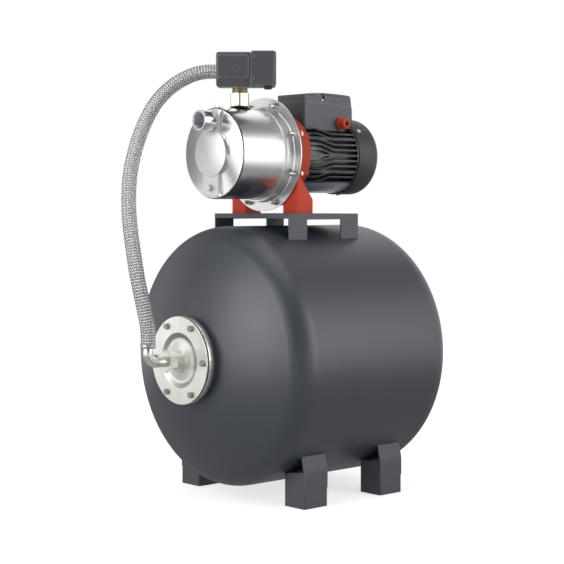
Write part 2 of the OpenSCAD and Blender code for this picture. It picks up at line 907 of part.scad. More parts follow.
module impeller() {
    hub_len = 8;
    hub_outer = 11;
    color("sandybrown") at_pump() difference() {
        union() {
            rod_x(impeller_x0 + impeller_w - 2, impeller_x0 + impeller_w, impeller_r);
            ring_x(impeller_x0, impeller_x0 + 2, impeller_r, eye_r - 2);
            ring_x(impeller_x0 - 3, impeller_x0 + 0.1, eye_r - 0.5, eye_r - 2.5);
            rod_x(impeller_x0 + 2, impeller_x0 + impeller_w + hub_len, hub_outer);
            on_x(impeller_x0 + 1.5) for (i = [0 : vane_count - 1])
                rotate([0, 0, i * 360 / vane_count]) impeller_vane();
        }
        rod_x(impeller_x0 - 4, impeller_x0 + 40, neck_shaft_r + seat);
    }
}

module seal_seat() {
    color("ivory") at_pump()
        ring_x(rim_x1 - spigot_len, rim_x1 - 1, seat_bore_r - seat, neck_shaft_r + 1.5);
}

module seal_head() {
    x1 = rim_x1 - spigot_len - play;
    x0 = impeller_x0 + impeller_w + 8.1;
    color("gray") at_pump() {
        ring_x(x0, x1, 9, neck_shaft_r + seat);
        ring_x(x1 - 3, x1, 11, neck_shaft_r + seat);
    }
}

// Pump bracket: flange, drum, feet and the lugs for the motor's long screws

module at_lugs(r) {
    for (side = [-1, 1])
        for (up = [-1, 1])
            translate([0, side * r * cos(lug_angle), up * r * sin(lug_angle)]) children();
}

module bracket_foot(side) {
    wide = bracket_foot_y1 - bracket_foot_y0;
    slope = (bracket_slope_h - bracket_foot_h) / (bracket_x1 - bracket_foot_x1);
    top_x = bracket_x1 + 2;
    translate([0, side * (bracket_foot_y0 + wide / 2) + wide / 2, 0]) rotate([90, 0, 0])
        linear_extrude(wide) polygon([
            [cover_x1, 0], [bracket_foot_x1, 0], [bracket_foot_x1, bracket_foot_h],
            [top_x, bracket_foot_h + slope * (top_x - bracket_foot_x1)],
            [cover_x1, bracket_slope_h]
        ]);
}

module bracket_cheek(side) {
    translate([cover_x1, 0, 0]) rotate([90, 0, 90]) linear_extrude(bracket_t)
        scale([side, 1]) polygon([
            [bracket_foot_y0, 0], [bracket_foot_y1, 0], [bracket_foot_y1, bracket_slope_h],
            [bracket_flange_r - 3, pump_rise - 20], [bracket_foot_y0, pump_rise - 40]
        ]);
}

// The space round the bearing's hub, with the lugs left standing in it
module drum_hollow(web_x1, drum_wall) {
    inner = drum_r - drum_wall;
    difference() {
        union() {
            ring_x(bracket_x1 + 2, drum_x1 + over, inner, bearing_r + 5);
            rod_x(web_x1, drum_x1 + over, inner);
        }
        at_lugs(tie_circle) rod_x(bracket_x1, drum_x1 + 2 * over, lug_body_r);
    }
}

module pump_bracket() {
    web_x1 = front_bearing_x + bearing_w;
    drum_wall = 7;
    color("tomato") difference() {
        union() {
            at_pump() {
                eared_disc(cover_x1, bracket_x1);
                rod_x(bracket_x1 - 0.01, drum_x1, drum_r);
                at_lugs(lug_r) rod_x(bracket_x1 - 0.01, drum_x1, lug_body_r);
                at_lugs(tie_circle) rod_x(bracket_x1 - 0.01, drum_x1, lug_body_r);
            }
            translate([0, 0, stand_z]) {
                for (side = [-1, 1]) {
                    bracket_foot(side);
                    bracket_cheek(side);
                }
            }
        }
        at_pump() {
            rod_x(cover_x1 - over, drum_x1 + over, seat_bore_r + 3);
            rod_x(front_bearing_x, web_x1 + over, bearing_r + seat);
            drum_hollow(web_x1, drum_wall);
            at_lugs(tie_circle) rod_x(bracket_x1 + 5, drum_x1 + over, tie_r + seat);
            around_x(stud_count, stud_circle, 180 / stud_count) {
                rod_x(cover_x1 - over, bracket_x1 + over, stud_r + seat);
                rod_x(bracket_x1, bracket_x1 + 8, 6.5);
            }
        }
        at_bracket_bolts() translate([0, 0, -over]) cylinder(h = 20, r = stand_bolt_r + seat);
    }
}

// Motor

function fin_level(i, x) = x < fin_bend_x0 ? i * fin_pitch
    : x > fin_bend_x1 ? (i - sign(i)) * fin_pitch
    : (i - sign(i) * (x - fin_bend_x0) / (fin_bend_x1 - fin_bend_x0)) * fin_pitch;

module fin_strip(i) {
    xs = [drum_x1, fin_bend_x0, fin_bend_x1, motor_x1];
    upper = [for (x = xs) [x, fin_level(i, x) + fin_t / 2]];
    lower = [for (k = [3 : -1 : 0]) [xs[k], fin_level(i, xs[k]) - fin_t / 2]];
    translate([0, motor_r, 0]) rotate([90, 0, 0]) linear_extrude(2 * motor_r)
        polygon(concat(upper, lower));
}

module motor_housing() {
    color("#2b2c30") at_pump() difference() {
        union() {
            rod_x(drum_x1, motor_x1, motor_core_r);
            intersection() {
                for (i = [-fin_side_count : fin_side_count]) fin_strip(i);
                rod_x(drum_x1, motor_x1, motor_r);
            }
            intersection() {
                rod_x(drum_x1, motor_x1, motor_r - 0.8);
                translate([drum_x1, -motor_r, -motor_r])
                    cube([motor_x1 - drum_x1, 2 * motor_r, motor_r - fin_top + fin_t / 2]);
            }
            at_lugs(tie_circle) rod_x(drum_x1, motor_x1, tie_boss_r);
        }
        rod_x(drum_x1 - over, motor_x1 + over, motor_bore_r);
        at_lugs(tie_circle) rod_x(drum_x1 - over, motor_x1 + over, tie_r + seat);
        translate([box_x0 - seat, -box_w / 2 - seat, 0]) difference() {
            cube([motor_x1 + 2 - box_x0, box_w + 2 * seat, motor_r + over]);
            translate([seat - box_x0, box_w / 2 + seat, 0])
                rod_x(-over, motor_x1 + 3, motor_core_r);
        }
    }
}

slot_count = 12;

module stator_core() {
    tooth_r = 38;
    color("silver") at_pump() on_x(stack_x0) linear_extrude(stack_x1 - stack_x0) difference() {
        circle(motor_bore_r - seat);
        circle(air_gap_r + play);
        for (i = [0 : slot_count - 1])
            rotate([0, 0, i * 360 / slot_count]) translate([tooth_r, 0]) circle(5);
    }
}

module winding_head(x0, x1) {
    turned_x() translate([air_gap_r + 2.5, x0]) round_rect(14, x1 - x0, 4);
}

module stator_windings() {
    color("chocolate") at_pump() {
        winding_head(stack_x0 - 13, stack_x0);
        winding_head(stack_x1, stack_x1 + 12);
    }
}

module rotor_core() {
    color("gray") at_pump() {
        ring_x(stack_x0, stack_x1, air_gap_r, shaft_r + 0.05);
        ring_x(stack_x0 - 5, stack_x0, air_gap_r - 3, air_gap_r - 11);
        ring_x(stack_x1, stack_x1 + 5, air_gap_r - 3, air_gap_r - 11);
    }
}

cover_screw_back = 7;
fan_x0 = motor_x1 + shield_t + 2 * cover_screw_back;
fan_w = 16;

module motor_shaft() {
    color("silver") at_pump() {
        rod_x(impeller_x0 - 1, front_bearing_x - 3, neck_shaft_r);
        rod_x(front_bearing_x - 3.01, rear_bearing_x + bearing_w + 3, shaft_r - run);
        rod_x(rear_bearing_x + bearing_w + 2.99, fan_x0 + fan_w, neck_shaft_r);
    }
}

module bearing(x0) {
    shield = 0.8;
    at_pump() difference() {
        ring_x(x0, x0 + bearing_w, bearing_r, shaft_r);
        ring_x(x0 - over, x0 + shield, bearing_r - 3, shaft_r + 3);
        ring_x(x0 + bearing_w - shield, x0 + bearing_w + over, bearing_r - 3, shaft_r + 3);
    }
}

module front_bearing() {
    color("lightsteelblue") bearing(front_bearing_x);
}

module rear_bearing() {
    color("lightsteelblue") bearing(rear_bearing_x);
}

shield_r = fan_cover_r - 1.6 - seat;

module rear_endshield() {
    lug_half = 5;
    lug_deep = 12;
    lug_len = cover_screw_back + lug_half;
    color("#2b2c30") at_pump() difference() {
        union() {
            rod_x(motor_x1, motor_x1 + shield_t, shield_r);
            rod_x(rear_bearing_x - 1, motor_x1 + shield_t, bearing_r + 5);
            rod_x(motor_x1 - 3, motor_x1 + 1, motor_bore_r - seat);
            intersection() {
                rod_x(motor_x1, motor_x1 + shield_t + lug_len, shield_r);
                at_cover_screws() translate([0, 0, shield_r - lug_deep]) {
                    cylinder(h = 2 * lug_deep, r = lug_half);
                    translate([-cover_screw_back - over, -lug_half, 0])
                        cube([cover_screw_back + over, 2 * lug_half, 2 * lug_deep]);
                }
            }
        }
        rod_x(rear_bearing_x, motor_x1 + shield_t + over, bearing_r + seat);
        rod_x(rear_bearing_x - 2, rear_bearing_x + over, bearing_r - 4);
        ring_x(motor_x1 - 4, motor_x1 - 0.5, motor_bore_r - 4, bearing_r + 6);
        at_lugs(tie_circle) rod_x(motor_x1 - 4, motor_x1 + shield_t + over, tie_r + seat);
        at_cover_screws() cylinder(h = 80, r = 2 + seat);
    }
}

module tie_rods() {
    head_h = 3;
    color("silver") at_pump() at_lugs(tie_circle) {
        rod_x(bracket_x1 + 6, motor_x1 + shield_t, tie_r);
        rod_x(motor_x1 + shield_t, motor_x1 + shield_t + head_h, 4.4);
    }
}

module cooling_fan() {
    hub_outer = 13;
    tip_r = 46;
    color("dimgray") at_pump() difference() {
        union() {
            rod_x(fan_x0, fan_x0 + fan_w, hub_outer);
            rod_x(fan_x0, fan_x0 + 2, tip_r - 8);
            for (i = [0 : fan_blades - 1])
                rotate([i * 360 / fan_blades, 0, 0])
                    translate([fan_x0, -1, hub_outer - 2]) cube([fan_w, 2, tip_r - hub_outer + 2]);
        }
        rod_x(fan_x0 - over, fan_x0 + fan_w + over, neck_shaft_r + 0.05);
    }
}

module at_cover_screws() {
    translate([motor_x1 + shield_t + cover_screw_back, 0, 0])
        for (turn = [90 - screw_angle, screw_angle - 90, 180]) rotate([turn, 0, 0]) children();
}

module fan_cover_profile(inset) {
    r = fan_cover_r - inset;
    back = fan_cover_x1 - inset;
    round_in = fan_cover_round - inset;
    translate([0, fan_cover_x0 - inset]) square([r, back - round_in - fan_cover_x0 + inset]);
    translate([0, fan_cover_x0]) square([r - round_in, back - fan_cover_x0]);
    translate([r - round_in, back - round_in]) circle(round_in);
}

module grille_slots() {
    slot_w = 3.6;
    slot_pitch = 7;
    spoke = 5;
    on_x(fan_cover_x1 - 3) linear_extrude(5) difference() {
        for (k = [2 : 6]) difference() {
            circle(k * slot_pitch + slot_w / 2);
            circle(k * slot_pitch - slot_w / 2);
        }
        for (a = [45, 135]) rotate([0, 0, a]) square([4 * fan_cover_r, spoke], center = true);
    }
}

module fan_cover() {
    wall = 1.6;
    color("#3c3e44") at_pump() difference() {
        turned_x() fan_cover_profile(0);
        turned_x() fan_cover_profile(wall);
        grille_slots();
        at_cover_screws() cylinder(h = 80, r = 2 + seat);
    }
}

module fan_cover_screws() {
    color("white") at_pump() at_cover_screws() {
        translate([0, 0, shield_r - 10]) cylinder(h = 12, r = 2);
        translate([0, 0, fan_cover_r]) cylinder(h = 1.8, r = 3.6);
        translate([0, 0, shield_r]) cylinder(h = fan_cover_r - shield_r + 0.01, r = 2);
    }
}

// Terminal box

box_slant = 9;
lid_round = 8;

function box_outline(z0) = [
    [box_x0 - over, z0], [box_x1 + box_slant, z0], [box_x1 + box_slant, 70],
    [box_x1 + 4, box_split_h - 5], [box_x0 - over, box_split_h]
];

module box_extrude(width) {
    translate([0, width / 2, 0]) rotate([90, 0, 0]) linear_extrude(width) children();
}

// Rounds the upright corners of the box and its lid
module box_plan(inset) {
    translate([box_x0 + inset, inset - box_w / 2, 0]) linear_extrude(2 * box_top_h)
        round_rect(box_len + box_slant - 2 * inset, box_w - 2 * inset, box_round - inset);
}

box_wall = 3;
gland_thread_r = 7.5;
lid_screw_r = 1.6;
lid_ledge = 2;

module at_lid_screws() {
    for (side = [-1, 1])
        translate([lid_screw_x, side * (box_w / 2 - 4), box_split_h]) children();
}

module box_room() {
    w = box_wall;
    box_extrude(box_w - 2 * w) polygon([
        [box_x0 + w, motor_core_r + w], [motor_x1 - 2 * w, motor_core_r + w],
        [motor_x1 - 2 * w, fan_cover_r + 2 * w], [box_x1 - w, fan_cover_r + 2 * w],
        [box_x1 - w, box_split_h], [box_x0 + w, box_split_h + over]
    ]);
}

module terminal_box() {
    color("#3c3e44") at_pump() difference() {
        intersection() {
            box_extrude(box_w) polygon(box_outline(30));
            box_plan(0);
        }
        difference() {
            box_room();
            at_lid_screws() translate([0, 0, -40]) cylinder(h = 60, r = 4);
        }
        rod_x(box_x0 - over, motor_x1 + shield_t, motor_core_r + seat);
        rod_x(motor_x1 - 0.2, fan_cover_x1, fan_cover_r + 0.8);
        translate([gland_x, 0, gland_rise]) rotate([90, 0, 0])
            cylinder(h = box_w, r = gland_thread_r + seat);
        at_lid_screws() translate([0, 0, -14]) cylinder(h = 30, r = lid_screw_r + seat);
    }
}

module lid_side_profile(inset) {
    crown_r = 420 - inset;
    mid_x = 58;
    top = box_top_h + 5;
    intersection() {
        translate([mid_x, box_top_h - inset - crown_r]) circle(crown_r, $fn = 200);
        polygon([
            [box_x0 - over, box_split_h], [box_x1 + 4 - inset, box_split_h - 5],
            [box_x1 - inset, top], [box_x0 - over, top]
        ]);
    }
}

module lid_cross_profile(inset) {
    half = box_w / 2 - inset;
    top = box_top_h - inset;
    r = lid_round - inset;
    translate([-half, 0]) square([2 * half, top - r]);
    translate([r - half, 0]) square([2 * (half - r), top]);
    for (side = [-1, 1])
        translate([side * (half - r), top - r]) circle(r);
}

module lid_form(inset) {
    intersection() {
        box_extrude(box_w) lid_side_profile(inset);
        on_x(box_x0) rotate([0, 0, 90]) linear_extrude(box_len + 10) lid_cross_profile(inset);
        box_plan(inset);
    }
}

module terminal_lid() {
    wall = 2.5;
    scallop_r = 5;
    color("#34363b") at_pump() difference() {
        lid_form(0);
        difference() {
            translate([0, 0, -0.5]) lid_form(wall);
            at_lid_screws() translate([0, 0, -6]) cylinder(h = 40, r = scallop_r + wall);
        }
        at_lid_screws() translate([0, 0, lid_ledge]) cylinder(h = 30, r = scallop_r);
        at_lid_screws() translate([0, 0, -14]) cylinder(h = 30, r = lid_screw_r + seat);
    }
}

module lid_screws() {
    color("silver") at_pump() at_lid_screws() {
        translate([0, 0, -12]) cylinder(h = 12 + lid_ledge + 0.01, r = lid_screw_r);
        translate([0, 0, lid_ledge]) cylinder(h = 2.4, r = 3.2);
    }
}

module capacitor() {
    can_r = 12;
    color("white") at_pump() translate([box_x0 + 12, -10, motor_core_r + box_wall + can_r])
        on_x(0) cylinder(h = 52, r = can_r);
}

module terminal_block() {
    color("wheat") at_pump()
        translate([motor_x1 - 22, -14, motor_core_r + box_wall]) cube([14, 34, 12]);
}

module cable_gland() {
    out = 17;
    inside = 6;
    nose_r = 4;
    body_r = 8.8;
    color("tomato") translate([gland_x, -box_w / 2, pump_z + gland_rise]) rotate([90, 0, 0])
        difference() {
            union() {
                translate([0, 0, -inside]) cylinder(h = inside + 1, r = gland_thread_r);
                cylinder(h = 5, r = gland_r);
                cylinder(h = out - nose_r, r = body_r);
                cylinder(h = out, r = body_r - nose_r);
                rotate_extrude() translate([body_r - nose_r, out - nose_r]) circle(nose_r);
            }
            translate([0, 0, -inside - over]) cylinder(h = out + inside + 2 * over, r = cable_r);
        }
}

// Manifold and pressure switch, in the outlet's own frame

module toward_front(d) {
    translate([0, -d, port_z]) rotate([90, 0, 0]) children();
}

module toward_hose(d) {
    translate([-d, 0, port_z]) rotate([0, -90, 0]) children();
}

port_r = 11.8;
port_len = 30;
nipple_r = 5.5;

module manifold() {
    neck_r = 12.1;
    deep = 16;
    half_h = 17;
    collar_h = 15;
    collar_r = manifold_r + 1.5;
    color("goldenrod") at_outlet() difference() {
        union() {
            translate([0, 0, outlet_top - deep])
                cylinder(h = deep + port_z - outlet_top, r = neck_r);
            translate([0, 0, port_z - half_h]) cylinder(h = 2 * half_h, r = manifold_r);
            translate([0, 0, manifold_top - collar_h]) cylinder(h = collar_h, r = collar_r, $fn = 8);
            toward_hose(0) cylinder(h = port_len, r = port_r);
            toward_hose(0) cylinder(h = half_h, r = port_r + 2.2);
            toward_front(0) cylinder(h = switch_d0 - 1, r = 9);
        }
        translate([0, 0, outlet_top - deep - over])
            cylinder(h = manifold_top - collar_h - outlet_top + deep + 2 * over, r = 9.5);
        translate([0, 0, manifold_top - collar_h]) cylinder(h = collar_h + over, r = discharge_r);
        toward_hose(0) cylinder(h = port_len + over, r = 8.5);
        toward_front(0) cylinder(h = switch_d0, r = nipple_r + seat);
    }
}

discharge_r = 13.2;

module switch_nipple() {
    flats = 14;
    color("silver") at_outlet() difference() {
        union() {
            toward_front(12) cylinder(h = switch_d0 - 12 + 3.5, r = nipple_r);
            toward_front(switch_d0 - 0.9) cylinder(h = 0.8, r = flats / 2);
        }
        toward_front(11) cylinder(h = 24, r = 2.5);
    }
}

module switch_slab(d0, d1, x0, x1, z0, z1, r) {
    translate([0, -d0, 0]) rotate([90, 0, 0]) linear_extrude(d1 - d0)
        translate([x0, z0]) round_rect(x1 - x0, z1 - z0, r);
}

base_x1 = switch_right - 1;

module switch_base() {
    w = switch_wall;
    color("#47484e") at_outlet() difference() {
        union() {
            difference() {
                switch_slab(switch_d0, split_d, -switch_left, base_x1, switch_z0 + 1, switch_z1, 5);
                switch_slab(switch_d0 + w, split_d + over, w - switch_left, base_x1 - w,
                    switch_z0 + 1 + w, switch_z1 - w, 3);
            }
            toward_front(switch_d0 + w - 0.01) cylinder(h = 6, r = 16);
            for (z = [port_z - 10.3 - lever_ear_t, port_z + 10.3])
                translate([lever_arm - 4, -lever_d0 - 4, z])
                    cube([8, lever_d0 + 4 - switch_d0 - w + 0.01, lever_ear_t]);
        }
        translate([lever_arm, -lever_d0 - lever_t / 2, port_z - 15])
            cylinder(h = 30, r = lever_pin_r + run);
        toward_front(switch_d0 - over) cylinder(h = 8, r = nipple_r + seat);
        toward_front(switch_d0 + w + 2) cylinder(h = 8, r = 13.5);
    }
}

// A slab whose front edges are rounded, by side_r at the sides and by top_r above and below.
// The rounding of its left side starts by spare to the left of it
module soft_slab(d0, d1, x0, x1, z0, z1, r, side_r, top_r, spare = 0) {
    intersection() {
        switch_slab(d0, d1, x0, x1, z0, z1, r);
        translate([x0 - spare, -d1, z0]) linear_extrude(z1 - z0)
            round_rect(x1 - x0 + spare, d1 - d0 + side_r, side_r);
        translate([x0, -d1, z0]) rotate([90, 0, 90]) linear_extrude(x1 - x0)
            round_rect(d1 - d0 + top_r, z1 - z0, top_r);
    }
}

panel_rise = 3.5;
lower_d = switch_d1 - panel_rise;

module cover_block(inset) {
    front = switch_d1 - inset;
    back = split_d - (inset > 0 ? over : 0);
    left = inset - switch_left;
    difference() {
        soft_slab(back, lower_d - inset, left, panel_right + 4, switch_z0 + inset,
            switch_z1 - inset, 5 - inset, 4 - inset, 4.5 - inset);
        cover_skirt(inset);
    }
    if (inset == 0)
        soft_slab(lower_d - 5, front, left + 1.2, panel_right, panel_z0, panel_z1, 5, 2, 2);
    soft_slab(back, front, panel_right + 2 + inset, switch_right - inset, block_z0 + inset,
        block_z1 - inset, 5 - inset, 6 - inset, 3 - inset / 2, 4);
}

// The space in front of the sloping skirt below the panel
module cover_skirt(inset) {
    lean = 5;
    front = -switch_d1;
    face = inset - lower_d;
    translate([-switch_left - over, 0, 0]) rotate([90, 0, 90])
        linear_extrude(switch_left + panel_right + 2 + over) polygon([
            [front, panel_z0 - 0.01], [face, panel_z0 - 0.01],
            [face + lean, switch_z0 - over], [front, switch_z0 - over]
        ]);
}

module cover_pockets() {
    deep = 1.6;
    for (z = [panel_z0, panel_z1 - 1.5])
        translate([panel_right + 5, -switch_d1 - over, z]) rotate([-90, 0, 0])
            cylinder(h = deep + over, r = 2.4);
}

module switch_cover() {
    color("#55565c") at_outlet() difference() {
        cover_block(0);
        cover_block(switch_wall);
        cover_pockets();
        translate([cover_screw_x, 0, 0]) toward_front(split_d) cylinder(h = 40, r = 1.8);
        translate([cover_screw_x, 0, 0]) toward_front(switch_d1 - 1.2) cylinder(h = 4, r = 3.4);
        translate([grommet_x, -grommet_d, block_z0 - over]) cylinder(h = 5, r = 4.5);
    }
}

cover_screw_x = -4.5;
grommet_x = 45;
grommet_d = 55;

module switch_cover_screw() {
    color("dimgray") at_outlet() translate([cover_screw_x, 0, 0]) difference() {
        union() {
            toward_front(bridge_d - 2) cylinder(h = switch_d1 - bridge_d + 1.3, r = 1.6);
            toward_front(switch_d1 - 1.1) cylinder(h = 1.1, r = 3);
        }
        translate([-0.5, -switch_d1 - 1, port_z - 4]) cube([1, 1.6, 8]);
    }
}

bridge_d = 57;
bridge_t = 2;
frame_h = 18;

module switch_frame() {
    base_d = switch_d0 + switch_wall;
    color("silver") at_outlet() difference() {
        union() {
            translate([-12, -bridge_d - bridge_t, port_z - frame_h])
                cube([18, bridge_t, 2 * frame_h]);
            for (z = [port_z - frame_h, port_z + frame_h - 2])
                translate([-12, -bridge_d - bridge_t, z])
                    cube([18, bridge_d + bridge_t - base_d, 2]);
            toward_front(bridge_d - 2.5) cylinder(h = 3, r = 8);
        }
        translate([cover_screw_x, 0, 0]) toward_front(bridge_d - 5) cylinder(h = 12, r = 1.7);
    }
}

// A coil spring between the bridge and the lever, with room for the lever's lift
module switch_spring() {
    wire_r = 0.9;
    coil_r = 6.5;
    turns = 4;
    turn_steps = 16;
    steps = turns * turn_steps;
    lift = plunger_lift * (1 + (coil_r + wire_r) / lever_arm);
    d0 = lever_d0 + lever_t + lift + play + wire_r;
    d1 = bridge_d - 2.5 - wire_r;
    coil = [for (i = [0 : steps])
        let (a = i * 360 / turn_steps) [coil_r * cos(a), coil_r * sin(a), d0 + (d1 - d0) * i / steps]];
    color("silver") at_outlet() toward_front(0) swept_tube(coil, wire_r, 8);
}

plunger_d0 = switch_d0 + switch_wall + 2.3;
plunger_d1 = plunger_d0 + 14;
lever_d0 = plunger_d1 + play;
lever_t = 1.5;
lever_pin_r = 1.5;
lever_ear_t = 3;

module switch_plunger() {
    color("white") at_outlet() {
        toward_front(plunger_d0) cylinder(h = 2.5, r = 13);
        toward_front(plunger_d0 + 2.49) cylinder(h = plunger_d1 - plunger_d0 - 2.49, r = 4);
    }
}

module switch_lever() {
    half_h = 10;
    color("darkgray") at_outlet() {
        translate([-15, -lever_d0 - lever_t, port_z - 8]) cube([15 + lever_arm, lever_t, 16]);
        translate([lever_arm, -lever_d0 - lever_t / 2, port_z - half_h - lever_ear_t])
            cylinder(h = 2 * (half_h + lever_ear_t), r = lever_pin_r);
    }
}

module switch_grommet() {
    lip = 1.6;
    color("black") at_outlet() translate([grommet_x, -grommet_d, block_z0]) difference() {
        union() {
            translate([0, 0, -5]) cylinder(h = 5, r = 6);
            translate([0, 0, -0.01]) cylinder(h = 3 + lip, r = 4.4);
        }
        translate([0, 0, -6]) cylinder(h = 12, r = 3);
    }
}

// Hose

module hose_nut() {
    lower_flats = 30;
    upper_flats = 32;
    color("gainsboro") {
        at_tank() difference() {
            hex_x(nut_x, nut_x + nut_len - 0.2, lower_flats);
            rod_x(nut_x + 3, nut_x + nut_len + over, hub_thread_r + seat);
            rod_x(nut_x - over, nut_x + 4, elbow_r + seat);
        }
        at_outlet() toward_hose(17.2) difference() {
            cylinder(h = 13, r = upper_flats / 2 / cos(30), $fn = 6);
            translate([0, 0, -over]) cylinder(h = 20, r = port_r + seat);
        }
    }
}

module hose() {
    color("silver") swept_tube(hose_route, hose_r, hose_sides);
}

module hose_ferrules() {
    wall_r = hose_r + 0.2;
    color("silver") {
        at_outlet() toward_hose(port_len + 0.3) cylinder(h = 3.6, r = wall_r);
        translate([hose_end[0], hose_end[1], hose_end[2] - ferrule_len]) difference() {
            cylinder(h = ferrule_len - 0.05, r = wall_r);
            translate([0, 0, -over]) cylinder(h = ferrule_len - 1, r = elbow_r + seat);
        }
    }
}

module elbow_bend(x, z, r) {
    translate([x, 0, z]) rotate([0, 180, 0]) rotate([90, 0, 0])
        rotate_extrude(angle = 90) translate([elbow_bend_r, 0]) circle(r);
}

module hose_elbow() {
    top_z = hose_end[2] - ferrule_len / 2;
    corner_x = hose_end[0] + elbow_bend_r;
    corner_z = tank_z + elbow_bend_r;
    bore = elbow_r - 1.4;
    color("gainsboro") difference() {
        union() {
            translate([hose_end[0], 0, corner_z]) cylinder(h = top_z - corner_z, r = elbow_r);
            elbow_bend(corner_x, corner_z, elbow_r);
            at_tank() rod_x(corner_x, nut_x + 5, elbow_r);
            at_tank() rod_x(nut_x + 3.1, nut_x + 4.9, hub_thread_r - 0.3);
        }
        elbow_bend(corner_x, corner_z, bore);
        translate([hose_end[0], 0, corner_z]) cylinder(h = top_z - corner_z + over, r = bore);
        at_tank() rod_x(corner_x, nut_x + 6, bore);
    }
}

tank_shell();
tank_neck_ring();
tank_bladder();
tank_flange();
flange_bolts();
front_left_foot();
front_right_foot();
rear_left_foot();
rear_right_foot();
air_valve_stem();
air_valve_pin();
air_valve_cap();
pump_stand();
stand_bolts();
pump_casing();
suction_pipe();
outlet_socket();
priming_plug();
drain_plug();
casing_studs();
casing_o_ring();
seal_plate();
ejector();
diffuser();
impeller();
seal_seat();
seal_head();
pump_bracket();
motor_housing();
stator_core();
stator_windings();
rotor_core();
motor_shaft();
front_bearing();
rear_bearing();
rear_endshield();
tie_rods();
cooling_fan();
fan_cover();
fan_cover_screws();
terminal_box();
terminal_lid();
lid_screws();
capacitor();
terminal_block();
cable_gland();
manifold();
switch_nipple();
switch_base();
switch_cover();
switch_cover_screw();
switch_frame();
switch_spring();
switch_plunger();
switch_lever();
switch_grommet();
hose_nut();
hose();
hose_ferrules();
hose_elbow();
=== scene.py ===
import json
import math

import bpy
import numpy as np
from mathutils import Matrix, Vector


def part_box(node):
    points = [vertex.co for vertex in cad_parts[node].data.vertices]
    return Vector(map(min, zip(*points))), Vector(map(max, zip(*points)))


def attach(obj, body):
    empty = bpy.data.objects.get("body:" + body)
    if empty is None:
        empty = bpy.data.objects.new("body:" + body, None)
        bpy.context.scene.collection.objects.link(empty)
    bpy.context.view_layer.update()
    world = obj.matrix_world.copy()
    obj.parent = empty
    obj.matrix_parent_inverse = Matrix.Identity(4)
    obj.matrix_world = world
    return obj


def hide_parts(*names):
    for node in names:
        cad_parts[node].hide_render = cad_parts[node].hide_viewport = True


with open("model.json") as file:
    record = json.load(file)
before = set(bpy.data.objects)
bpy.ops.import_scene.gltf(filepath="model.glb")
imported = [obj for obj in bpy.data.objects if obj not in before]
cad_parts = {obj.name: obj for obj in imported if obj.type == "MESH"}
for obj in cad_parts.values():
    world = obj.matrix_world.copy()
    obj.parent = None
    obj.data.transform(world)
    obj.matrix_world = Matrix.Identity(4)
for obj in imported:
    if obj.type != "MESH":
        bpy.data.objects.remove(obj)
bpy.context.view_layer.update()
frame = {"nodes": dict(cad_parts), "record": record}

nodes = frame["nodes"]
MM = 0.001


def add_object(name, data):
    """A new object in the scene that shows the given data."""
    thing = bpy.data.objects.new(name, data)
    bpy.context.scene.collection.objects.link(thing)
    return thing


# Camera

EYE = (-1.6325, -1.7788, 0.4675)
LOOK_TURN = -42.24
LOOK_DOWN = 3.06
LENS = 94.32
SENSOR_W = 36.0
SIGHT_END = 50.0


def make_camera():
    data = bpy.data.cameras.new("camera")
    data.lens = LENS
    data.sensor_width = SENSOR_W
    data.clip_end = SIGHT_END
    camera = add_object("camera", data)
    camera.location = EYE
    camera.rotation_euler = (math.radians(90 - LOOK_DOWN), 0.0, math.radians(LOOK_TURN))
    bpy.context.scene.camera = camera


make_camera()

# Meshes and paths

CURVE_STEPS = 40


def new_piece(name, verts, faces, material, smooth=True):
    mesh = bpy.data.meshes.new(name)
    mesh.from_pydata([tuple(v) for v in verts], [], faces)
    if smooth:
        mesh.polygons.foreach_set("use_smooth", [True] * len(mesh.polygons))
    mesh.update()
    mesh.materials.append(material)
    piece = add_object(name, mesh)
    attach(piece, "root")
    return piece


def smooth_path(points, step):
    """Points every step along the Catmull-Rom curve through the given points, and how far along
    each one lies."""
    before, after = 2 * points[0] - points[1], 2 * points[-1] - points[-2]
    p = np.array([before, *points, after])
    fine = []
    for i in range(1, len(p) - 2):
        a, b, c, d = p[i - 1:i + 3]
        for t in np.linspace(0, 1, CURVE_STEPS, endpoint=False):
            fine.append(0.5 * (2 * b + (c - a) * t + (2 * a - 5 * b + 4 * c - d) * t**2
                               + (3 * b - a - 3 * c + d) * t**3))
    fine.append(p[-2])
    fine = np.array(fine)
    run = np.concatenate([[0], np.cumsum(np.linalg.norm(np.diff(fine, axis=0), axis=1))])
    count = int(round(run[-1] / step)) + 1
    marks = np.linspace(0, run[-1], count)
    return np.stack([np.interp(marks, run, fine[:, k]) for k in range(3)], axis=1), marks


def path_frames(path):
    """Unit side and up vectors at each point, turned by the least angle from one to the next."""
    along = np.gradient(path, axis=0)
    along /= np.linalg.norm(along, axis=1)[:, None]
    side = np.cross(along[0], (0, 0, 1))
    side /= np.linalg.norm(side)
    sides = []
    for d in along:
        side = side - d * side.dot(d)
        side /= np.linalg.norm(side)
        sides.append(side)
    sides = np.array(sides)
    return sides, np.cross(along, sides)


def make_tube(name, path, radius, sides, material):
    """A round solid bar along the path."""
    side, up = path_frames(path)
    angles = np.linspace(0, 2 * math.pi, sides, endpoint=False)
    rings = path[:, None] + radius * (np.cos(angles)[None, :, None] * side[:, None]
                                      + np.sin(angles)[None, :, None] * up[:, None])
    verts = rings.reshape(-1, 3)
    faces = []
    for i in range(len(path) - 1):
        for k in range(sides):
            a, b = i * sides + k, i * sides + (k + 1) % sides
            faces.append((a, a + sides, b + sides, b))
    faces.append(tuple(range(sides)))
    faces.append(tuple(reversed(range(len(verts) - sides, len(verts)))))
    return new_piece(name, verts, faces, material)


# Hose: the route's points are those of the CAD tube

